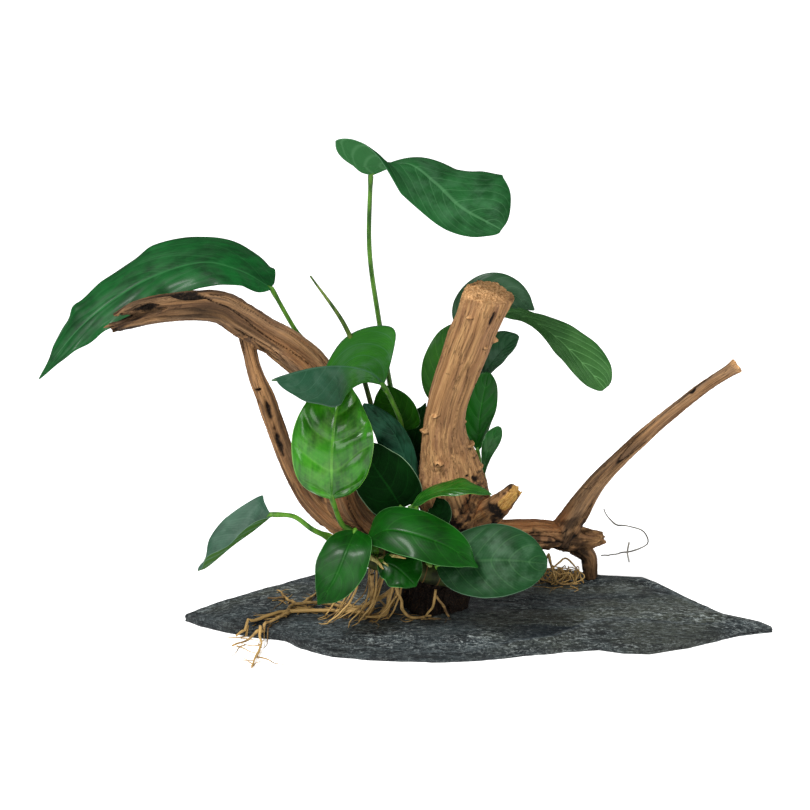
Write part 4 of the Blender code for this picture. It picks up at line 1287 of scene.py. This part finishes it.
def break_stub(skin, worn):
    """The pale, rusty face where the stub broke off, with dark wood round it."""
    torn = rough(skin.points, *TORN)
    off_face = off_line(skin.points, *STUB_FACE)[0] + 0.8 * torn
    broken = smooth_step(off_face, 3.2, 2.4)
    skin.dark += 0.8 * smooth_step(off_face, 9, 6) * (1 - broken) * smooth_step(worn, 0.5, 0.0)
    skin.pale += broken
    skin.rust += 0.8 * broken
    skin.dark *= 1 - 0.9 * broken * smooth_step(torn, -0.35, 0.0)


def weather_arch(skin):
    """Dark streaks towards the arch's broken end, and some rust where it bends."""
    x, _, z = skin.points.T
    streaks = patches(skin.grain, ARCH_STREAKS, -0.3, 0.2)
    skin.dark += (0.25 + 0.6 * streaks) * smooth_step(x, -105, -140) * smooth_step(z, 135, 160)
    skin.rust += 0.3 * smooth_step(x, -125, -85) * (1 - streaks)


def weather_branch(skin):
    """The arm is rusty on top and pitted below, with painted shade in the pits on its lower side, and the
    foot is dark.
    """
    x, _, z = skin.points.T
    facing_up = skin.normals[:, 2]
    pits = rough(skin.points, *ARM_PITS)
    below = smooth_step(x, 62, 56) * smooth_step(facing_up + 0.8 * pits, 0.45, 0.1) * smooth_step(z, 52, 46)
    foot = smooth_step(z, 24, 12) * smooth_step(x, 50, 56)
    skin.move += 0.9 * below * pits
    # Painted shade in the pits on the lower side, and the foot darker
    skin.dark += 0.6 * foot + 0.75 * below * smooth_step(pits, 0.3, -0.1)
    skin.rust += 0.55 * smooth_step(x, 52, 44) * smooth_step(facing_up, 0.1, 0.6)


def add_knots(skin):
    """Raised stumps with a painted highlight above and painted shade round the lower edge, some with a pit
    in painted shade.
    """
    uneven = 1 + 0.35 * rough(skin.points, *KNOT_EDGES)
    for centre, radius, height, pit in KNOTS:
        offset = (skin.points - centre) * SHALLOW * (1, 1, 1.5)
        above = offset[:, 2]
        away = np.linalg.norm(offset, axis=1) / radius * uneven
        skin.move += 1.9 * height * (smooth_step(away, 1.4, 0.4) - pit * smooth_step(away, 0.6, 0.2))
        # Painted shade in the pit
        skin.dark += pit * smooth_step(away, 0.55, 0.25)
        # Painted shadow round the lower edge
        skin.dark += 0.9 * smooth_step(np.abs(away - 1.4), 0.4, 0.0) * smooth_step(above, 0.5, -0.8)
        # Painted highlight on the upper part
        skin.lighten(smooth_step(away, 1.3, 0.8) * smooth_step(above, -0.8, 0.3))


def add_hollows(skin):
    """Hollows, widest half-way along, with painted shade inside."""
    uneven = 0.4 * rough(skin.points, *HOLLOW_EDGES)
    for start, end, radius, deep in HOLLOWS:
        away, along = off_line(skin.points, start, end)
        away = away / (radius * (1 - 0.7 * (2 * along - 1) ** 2)) + uneven
        skin.move -= 0.8 * deep * smooth_step(away, 1.7, 0.6)
        # Painted shade inside each hollow
        skin.dark += 1.3 * smooth_step(away, 1.5, 0.9)


WOOD_LOOKS = ("warm", "grey", "dark", "rust", "pale")
OWN_WEATHER = {"trunk_wood": weather_trunk, "arch_wood": weather_arch, "branch_wood": weather_branch}


def build_wood(finish):
    """The driftwood in three pieces, each with weather of its own and then what all of them have."""
    sawn_end = WOOD["driftwood_branch"][-1][:3]
    for piece, names in WOOD_GROUPS.items():
        skin = Skin(names)
        OWN_WEATHER[piece](skin)
        add_knots(skin)
        add_hollows(skin)
        skin.lighten(smooth_step(np.linalg.norm(skin.points - sawn_end, axis=1), 5.0, 3.6))
        points = skin.points + skin.normals * skin.move[:, None]
        points[:, 2] = np.maximum(points[:, 2], SLAB_TOP - 0.3)
        skin.warm = skin.warm + 0.3 * rough(points, *TONES)
        values = {name: np.clip(getattr(skin, name), 0, 1) for name in WOOD_LOOKS}
        made = mesh_of(piece, points, skin.faces, {"grain": skin.grain, **values})
        place(made, finish, "driftwood", *names)


# Slate slab

SLAB_AROUND = 720
SLAB_SIDE_ROWS = 22
SLAB_TOP_ROWS = 74
SLAB_BOTTOM_ROWS = 6
SLAB_CENTRE = np.array((0, 2, 0))
# Thickness of the layers that the split side shows
SLAB_LAYER = 0.75
# The middle of the place where the trunk stands, which is smooth
UNDER_TRUNK = (-24, 1, 0)
TERRACE_STEP = 0.3
CLEFT = 1.65
LEDGE_LINE = -27
LEDGE_DROP = 0.7
# Patterns in the slate: size of the bumps in millimetres, seed and, for most of them, octaves
JAGS = (7, 201, 4)
CHIPS = (1.2, 211)
SHELVES = (9, 221, 3)
LAYER_TONES = (1.2, 231)
TERRACES = ((40, 14, 10), 241, 4)
RIPPLES = ((14, 3, 4), 251, 4)
RIM_TERRACES = ((20, 8, 8), 261, 4)
LEDGE_BENDS = ((40, 12, 12), 271, 4)


def terraces(points, pattern):
    """Flat steps with short steep edges, as split slate has."""
    height = rough(points, *pattern) / TERRACE_STEP
    whole = np.floor(height)
    return (whole + smooth_step(height - whole, 0.78, 1.0)) * TERRACE_STEP


def slab_outline():
    """Points round the slab's foot, the way inwards, the edge's height and how far it is set back."""
    closed = np.vstack([SLAB_EDGE, SLAB_EDGE[:1]])
    rounds = np.concatenate([[0], np.cumsum(np.linalg.norm(np.diff(closed[:, :2], axis=0), axis=1))])
    wanted = np.linspace(0, rounds[-1], SLAB_AROUND, endpoint=False)
    x, y, height, inset = rows_at(wanted, rounds, closed).T
    inward = unit(np.column_stack([-0.2 * x, -y, 0 * x]))
    return np.column_stack([x, y, 0 * x]), inward, height, inset


def slab_side(outline, inward, height, inset):
    """Rows up the split side, whose layers are chipped back unevenly, and how dark each layer is."""
    x, y, _ = outline.T
    rim = outline + inward * (0.8 + 0.7 * rough(outline, *JAGS))[:, None]
    rows, tones = [], []
    for number in range(SLAB_SIDE_ROWS + 1):
        up = number / SLAB_SIDE_ROWS
        z = height * up
        shelf = np.column_stack([x, y, z * 6])
        layer = np.column_stack([x * 0.12, y * 0.12, np.floor(z / SLAB_LAYER) * 7.0])
        chip = 0.75 * noise(layer, *CHIPS) + 0.3 * rough(shelf, *SHELVES)
        slope = SLAB_UNDERCUT * max(0, 1 - up / SLAB_LEDGE)
        slope = slope + max(up - SLAB_LEDGE, 0) / (1 - SLAB_LEDGE) * inset
        fade = math.sin(math.pi * min(max(up, 0.04), 0.96)) ** 0.5
        row = rim + inward * (slope + 0.8 * chip * fade)[:, None]
        row[:, 2] = z
        rows.append(row)
        tones.append(0.4 + 0.6 * smooth_step(noise(layer, *LAYER_TONES), 0.1, 0.6))
    return rows, tones


def slab_top(edge, height):
    """Rows that run inwards from the top edge and soon rise to the slab's full height."""
    rows = []
    for number in range(1, SLAB_TOP_ROWS + 1):
        inner = (number / SLAB_TOP_ROWS) ** 0.9 * 0.985
        row = edge * (1 - inner) + SLAB_CENTRE * inner
        row[:, 2] = height + (SLAB_TOP - height) * smooth_step(inner, 0.0, 0.2)
        rows.append(row)
    return rows


def cleave(top):
    """Splits the top into thin layers, flat under the trunk, and says where the ledge in front is."""
    flat = top * (1, 1, 0)
    inner = np.linspace(0, 1, len(top))[:, None]
    clear = smooth_step(np.linalg.norm(flat - UNDER_TRUNK, axis=-1), 20, 34)
    relief = CLEFT * terraces(flat, TERRACES) + 0.32 * rough(flat, *RIPPLES) - 0.35
    rough_rim = smooth_step(inner, 0.35, 0.0) * 0.5 * terraces(flat, RIM_TERRACES)
    lift = np.minimum(relief * clear + rough_rim, 0.25)
    line = LEDGE_LINE + 5 * rough(flat, *LEDGE_BENDS)
    ledge = smooth_step(line - flat[..., 1], 0, 1.5) * smooth_step(flat[..., 0], 0, 30)
    top[..., 2] += lift * smooth_step(inner, 0.0, 0.02)
    top[..., 2] -= LEDGE_DROP * ledge * smooth_step(inner, 0.0, 0.05)
    return ledge


def build_slab(finish):
    """The slab: a flat underside, rows up its split side and rows inwards over its cleft top."""
    outline, inward, height, inset = slab_outline()
    side, tones = slab_side(outline, inward, height, inset)
    shares = 0.97 * np.arange(SLAB_BOTTOM_ROWS, 0, -1) / SLAB_BOTTOM_ROWS
    underside = [side[0] * (1 - inner) + SLAB_CENTRE * inner for inner in shares]
    grid = np.array(underside + side + slab_top(side[-1], height))
    edge_row = SLAB_BOTTOM_ROWS + SLAB_SIDE_ROWS
    worn, layers, ledge = np.zeros((3, *grid.shape[:2]))
    # The rows round the top edge carry a painted edge highlight
    worn[edge_row - 1:edge_row + 2] = 1.0
    layers[SLAB_BOTTOM_ROWS:edge_row + 1] = tones
    ledge[edge_row:] = cleave(grid[edge_row:])
    grid[..., 2] = np.maximum(grid[..., 2], 0)
    faces = tube_faces(len(grid), SLAB_AROUND)
    values = {"worn": worn.ravel(), "layers": layers.ravel(), "ledge": ledge.ravel()}
    place(mesh_of("slate_slab_cleft", grid, faces, values), finish, "slate", "slate_slab")
    return BVHTree.FromPolygons(grid.reshape(-1, 3).tolist(), faces)


# Roots

ROOT_SEED = 20
ROOT_STEP = 1.6
STRAND_SIDES = 8
HANGING_SIDES = 6
ROOTLET_SIDES = 5
# A strand sends out rootlets where it is less than this above the ground
LOW_STRAND = 4
# How near the front the hanging roots may come down
FRONT_OF_BUNCH = -34
# How thick the strands are beside those of the part
THINNESS = {"roots_front": 0.9, "roots_bunch": 1, "roots_back": 0.6, "root_loop": 0.55}
HANGING_ROOTS = 20
HANGING_STATIONS = 22
TANGLED_ROOTS = 26
TANGLED_POINTS = 5
TANGLED_STATIONS = 24
TANGLED_RADIUS = 0.3
TWIG_STATIONS = 8
TWIG_TINT = 0.6
LOOP_TWIG = ((80, 26, 34, 0.5), (79, 24, 29, 0.4), (80, 23, 24, 0.3))
# Patterns along the roots: size of the bends in millimetres and seed
STRAND_BENDS = (5, 301)
STRAND_WIDTHS = (4, 311)
HANGING_BENDS = (6, 321)


def ground_under(x, y, slab):
    """Height of the slab's top at a place, or of the floor beside the slab."""
    hit = slab.ray_cast(Vector((x, y, 100)), Vector((0, 0, -1)))[0]
    return hit.z if hit else 0.0


def laid_down(points, slab):
    """A strand whose heights are counted from the slab or the floor under it."""
    path = np.array(points, float)
    for spot in path:
        spot[2] = max(spot[2], spot[3] * 0.9) + ground_under(spot[0], spot[1], slab)
    return path


def wandering_root(random, start, heading, length, radius, slab):
    """A thin rootlet that creeps over the ground from a place, turning as it goes."""
    steps = max(4, int(length / ROOT_STEP))
    x, y = start[0], start[1]
    points = []
    turn = 0.0
    for step in range(steps):
        points.append((x, y, 0.0, radius * (1 - 0.75 * step / (steps - 1))))
        turn = 0.6 * turn + random.normal(0, 0.16)
        heading += turn
        x += math.cos(heading) * ROOT_STEP
        y += math.sin(heading) * ROOT_STEP
    return laid_down(points, slab)


def bent_strand(strand, thinness, slab):
    """A strand laid on the ground, with bends and changes of thickness along it."""
    count = int(length_of(strand) / ROOT_STEP) + 4
    path = laid_down(smooth_path(strand, count), slab)
    bends = sideways_noise(path[:, :3], *STRAND_BENDS)
    path[:, :2] += 0.9 * bends * smooth_step(np.arange(count), 0, 4)[:, None]
    path[:, 3] *= thinness * (0.78 + 0.25 * noise(path[:, :3], *STRAND_WIDTHS))
    return path


def add_rootlets(tuft, random, path, slab):
    """Rootlets that creep away from a strand wherever it lies low."""
    low = [spot for spot in path if spot[2] - ground_under(spot[0], spot[1], slab) < LOW_STRAND]
    for spot in low[::3]:
        heading = random.uniform(0, math.tau)
        length = random.uniform(6, 20)
        rootlet = wandering_root(random, spot, heading, length, random.uniform(0.22, 0.45), slab)
        tuft.add_tube(rootlet, ROOTLET_SIDES, tint=random.uniform(0, 1))


def add_hanging_roots(tuft, random, slab):
    """Roots that drop from the front rhizome, sweep to the left and spread over the slab."""
    axis = rhizome_path("rhizome_front", 101)
    for _ in range(HANGING_ROOTS):
        top = axis[random.integers(12, 62), :3] + (random.uniform(-2, 2), random.uniform(0, 7), -3)
        heading = math.pi + random.normal(0.25, 0.45)
        spread = random.uniform(7, 25)
        foot = top[:2] + spread * np.array([math.cos(heading), 0.5 * math.sin(heading)])
        foot[1] = max(foot[1], FRONT_OF_BUNCH)
        radius = random.uniform(0.28, 0.62)
        level = ground_under(foot[0], foot[1], slab)
        bulge = np.append(top[:2] * 0.65 + foot * 0.35, level + (top[2] - level) * 0.4)
        middle = bulge + random.normal(0, 1.6, 3)
        places = [(*top, radius), (*middle, radius), (*foot, level + radius, radius * 0.7)]
        path = smooth_path(places, HANGING_STATIONS)
        path[:, :2] += 1.1 * sideways_noise(path[:, :3], *HANGING_BENDS)
        tuft.add_tube(path, HANGING_SIDES, tint=random.uniform(0, 1))
        creep = wandering_root(random, path[-1], heading + random.normal(0, 0.4),
                               random.uniform(3, 9), radius * 0.65, slab)
        tuft.add_tube(creep, ROOTLET_SIDES, tint=random.uniform(0, 1))


def add_back_tangle(tuft, random, slab):
    """Pale thin rootlets in a loose ball between the branch and the slab."""
    for _ in range(TANGLED_ROOTS):
        turn = random.uniform(0, math.tau)
        centre = np.array([random.uniform(36, 52), random.uniform(33, 40)])
        reach = random.uniform(3, 9)
        ring = []
        for step in range(TANGLED_POINTS):
            around = turn + step * random.uniform(0.6, 1.1)
            spot = centre + reach * np.array([math.cos(around), 0.6 * math.sin(around)])
            level = ground_under(spot[0], spot[1], slab)
            arch = random.uniform(0, 9) * math.sin(math.pi * (step + 0.5) / TANGLED_POINTS)
            ring.append((*spot, level + 0.5 + arch, TANGLED_RADIUS))
        tuft.add_tube(smooth_path(ring, TANGLED_STATIONS), ROOTLET_SIDES, tint=random.uniform(0.6, 1.4))


OTHER_ROOTS = {"roots_bunch": add_hanging_roots, "roots_back": add_back_tangle}


def build_roots(slab, living, dry):
    """The tufts of roots and the dry loop, which has a twig and no rootlets."""
    random = np.random.default_rng(ROOT_SEED)
    for name, strands in ROOTS.items():
        is_dry = name == "root_loop"
        tuft = Pile()
        for strand in strands:
            path = bent_strand(strand, THINNESS[name], slab)
            tuft.add_tube(path, STRAND_SIDES, tint=random.uniform(0, 1))
            if not is_dry:
                add_rootlets(tuft, random, path, slab)
        if is_dry:
            tuft.add_tube(smooth_path(LOOP_TWIG, TWIG_STATIONS), HANGING_SIDES, tint=TWIG_TINT)
        if name in OTHER_ROOTS:
            OTHER_ROOTS[name](tuft, random, slab)
        finish, slot = (dry, "root_grey") if is_dry else (living, "root")
        place(tuft.mesh(name + "_strands"), finish, slot, name)


# Colours of the leaves: deep, middle, vein and underside, then how the finish differs from a plain one; pale
# is the colour of the painted sheen and of the painted rim highlight

VIVID = (
    ("021c02", "064604", "2f7a22", "2c5a1a"),
    dict(pale="5f9a58", vein_strength=0.07, gloss=0.38, shine=0.05, relief=0.2, glint=0.09, rib=0.12),
)
LEAF_FINISHES = {
    "top": (("0a3012", "1b4c24", "47754c", "2c5c32"),
            dict(pale="4c7355", painted_sheen=0.22, vein_strength=0.25, mottling=1.1, relief=0.2, glint=0.05,
                 shine=0.0, gloss=0.6)),
    "over_arch": (("032a0d", "0a4c1c", "2f6a3a", "2a5a34"),
                  dict(pale="3a6240", painted_sheen=0.14, vein_strength=0.1, mottling=1.1, relief=0.3, glint=0.1)),
    # The folded leaf's blue-grey deep and middle greens are a painted sky reflection on its outer half; base
    # has its own greens towards the stalk
    "folded": (("143820", "204632", "3a604a", "245a0c"),
               dict(pale="44604e", painted_sheen=0.35, vein_strength=0.2, base=("10440a", "24600e"))),
    "bright": (("0e3c04", "2a720c", "62a234", "5a9034"),
               dict(pale="7ab450", painted_sheen=0.16, vein_strength=0.14, mottling=1.2, gloss=0.26, shine=0.4)),
    # Blue-grey greens on the upper side of low_left: the leaf's green with a painted sky reflection
    "low_left": (("1a3828", "30523f", "4f6e5c", "2c5018"),
                 dict(pale="566e60", painted_sheen=0.4, vein_strength=0.08, mottling=0.9, relief=0.3)),
    "front_left": VIVID,
    "front_middle": VIVID,
    "front_low": VIVID,
    # front_right's pale veins are its own veins with a painted glare along them, and its painted sheen is
    # grey-white glare
    "front_right": (("07290d", "133a1b", "44703f", "2f6236"),
                    dict(pale="5c7c62", painted_sheen=0.24, vein_strength=0.14, mottling=1.2, rib=0.15,
                         gloss=0.46, shine=0.0, glint=0.1, relief=0.4)),
    "dark_middle": (("010f02", "032404", "0c3a0e", "123a10"),
                    dict(vein_strength=0.2, gloss=0.6, shine=0.0, glint=0.03)),
    "dark_curled": (("021c0a", "1c4430", "2c5a40", "1c4a2a"),
                    dict(pale="2e4f40", painted_sheen=0.3, vein_strength=0.25, mottling=1.4, shine=0.0, glint=0.06)),
    "trunk_top": (("16351c", "25462b", "48684a", "2c5230"),
                  dict(pale="4e6a54", painted_sheen=0.35, vein_strength=0.3)),
    "trunk_left_high": (("0a3604", "1f4c0e", "3f7028", "2f5a1c"), dict(vein_strength=0.25)),
    "trunk_front": (("043603", "154c0a", "3a7a1e", "2f5a1c"),
                    dict(pale="5a9038", painted_sheen=0.15, vein_strength=0.25, gloss=0.3, shine=0.25)),
    "right_long": (("123d10", "2c5624", "64965a", "3a6a34"),
                   dict(pale="4a7444", painted_sheen=0.2, vein_strength=0.6, mottling=0.8)),
    "right_high": (("052c0d", "12401f", "2f5a3a", "1c4a1a"),
                   dict(pale="36523f", painted_sheen=0.5, vein_strength=0.3)),
    "right_middle": (("043a04", "0c490c", "2a6a24", "2c5a1a"), dict(vein_strength=0.25, gloss=0.35)),
    "dark": (("021504", "052c08", "144214", "1c4a1a"),
             dict(vein_strength=0.2, gloss=0.6, shine=0.0, glint=0.04)),
    "olive": (("072c03", "205c05", "38661c", "2f5a1c"), dict(gloss=0.5, shine=0.0, glint=0.05)),
    "mid": (("062f0c", "134e18", "3c7434", "2f6228"), dict(painted_sheen=0.08)),
}


def build_plant():
    """The leaves on their stalks, the rolled new leaf and the rhizomes."""
    stems = stem_finish("stalk_green", "1d4509", "4a761f")
    finishes = {}
    for name, (greens, differences) in LEAF_FINISHES.items():
        finishes[name] = leaf_finish("leaf_" + name, *greens, **differences)
    for leaf in LEAVES:
        build_blade(leaf, finishes.get(leaf.name) or finishes[leaf.colour])
        build_stalk(leaf, stems)
    build_spear(stem_finish("spear_green", "24400f", "5a6d2c"))
    build_rhizomes(rhizome_finish(), bract_finish())


# Studio

WHITE = (1, 1, 1, 1)
FLOOR_GREY = (0.85, 0.85, 0.85, 1)
FLOOR_GLOW = 0.5
FLOOR_LEVEL = -0.2
SKY_STRENGTH = 0.3
VIEW_END = 100
LIGHTS = (
    # name, kind, place, what it shines at, strength and size
    ("key", "SUN", (-700, -700, 1500), (0, 0, 60), 3.3, dict(angle=math.radians(12))),
    ("side", "AREA", (1000, -500, 600), (0, 0, 80), 6.0, dict(shape="DISK", size=0.5)),
    ("front", "AREA", (-500, -900, 700), (0, 0, 80), 6.0, dict(shape="RECTANGLE", size=0.5, size_y=0.7)),
)


def aim(made, place_at, target):
    """Puts a light or the camera at a place and points it at another."""
    made.location = Vector(place_at) * MM
    direction = Vector(target) * MM - made.location
    made.rotation_euler = direction.to_track_quat("-Z", "Y").to_euler()


def add_floor():
    """A white floor just under the slab and the roots, bright enough to look the same all over."""
    half = FLOOR_SIZE / 2
    corners = [(x, y, FLOOR_LEVEL) for x, y in ((-half, -half), (half, -half), (half, half), (-half, half))]
    floor = mesh_of("floor", corners, [[0, 1, 2, 3]], flat=True)
    paint = Finish("floor_white", Base_Color=FLOOR_GREY, Roughness=0.9, Specular_IOR_Level=0.1,
                   Emission_Color=WHITE, Emission_Strength=FLOOR_GLOW)
    floor.data.materials.append(paint.material)


def build_studio():
    """A white floor, even light from all round, a high sun on the left and two soft lights."""
    scene = bpy.context.scene
    scene.world = bpy.data.worlds.new("studio")
    scene.world.use_nodes = True
    sky = scene.world.node_tree.nodes["Background"]
    sky.inputs["Color"].default_value = WHITE
    sky.inputs["Strength"].default_value = SKY_STRENGTH
    for name, kind, place_at, target, strength, size in LIGHTS:
        light = bpy.data.lights.new(name, kind)
        light.energy = strength
        for setting, value in size.items():
            setattr(light, setting, value)
        aim(put_in_scene(name, light), place_at, target)
    add_floor()
    camera = bpy.data.cameras.new("camera")
    camera.lens = LENS
    camera.sensor_width = SENSOR
    camera.clip_end = VIEW_END
    scene.camera = put_in_scene("camera", camera)
    aim(scene.camera, CAMERA_PLACE, CAMERA_TARGET)
    scene.view_settings.view_transform = "Standard"


slab_tree = build_slab(slate_finish())
build_wood(wood_finish())
build_plant()
living_roots = root_finish("root_tan", "4a3418", "ab8a52")
dry_roots = root_finish("root_dry", "3a3835", "77736a")
build_roots(slab_tree, living_roots, dry_roots)
build_studio()
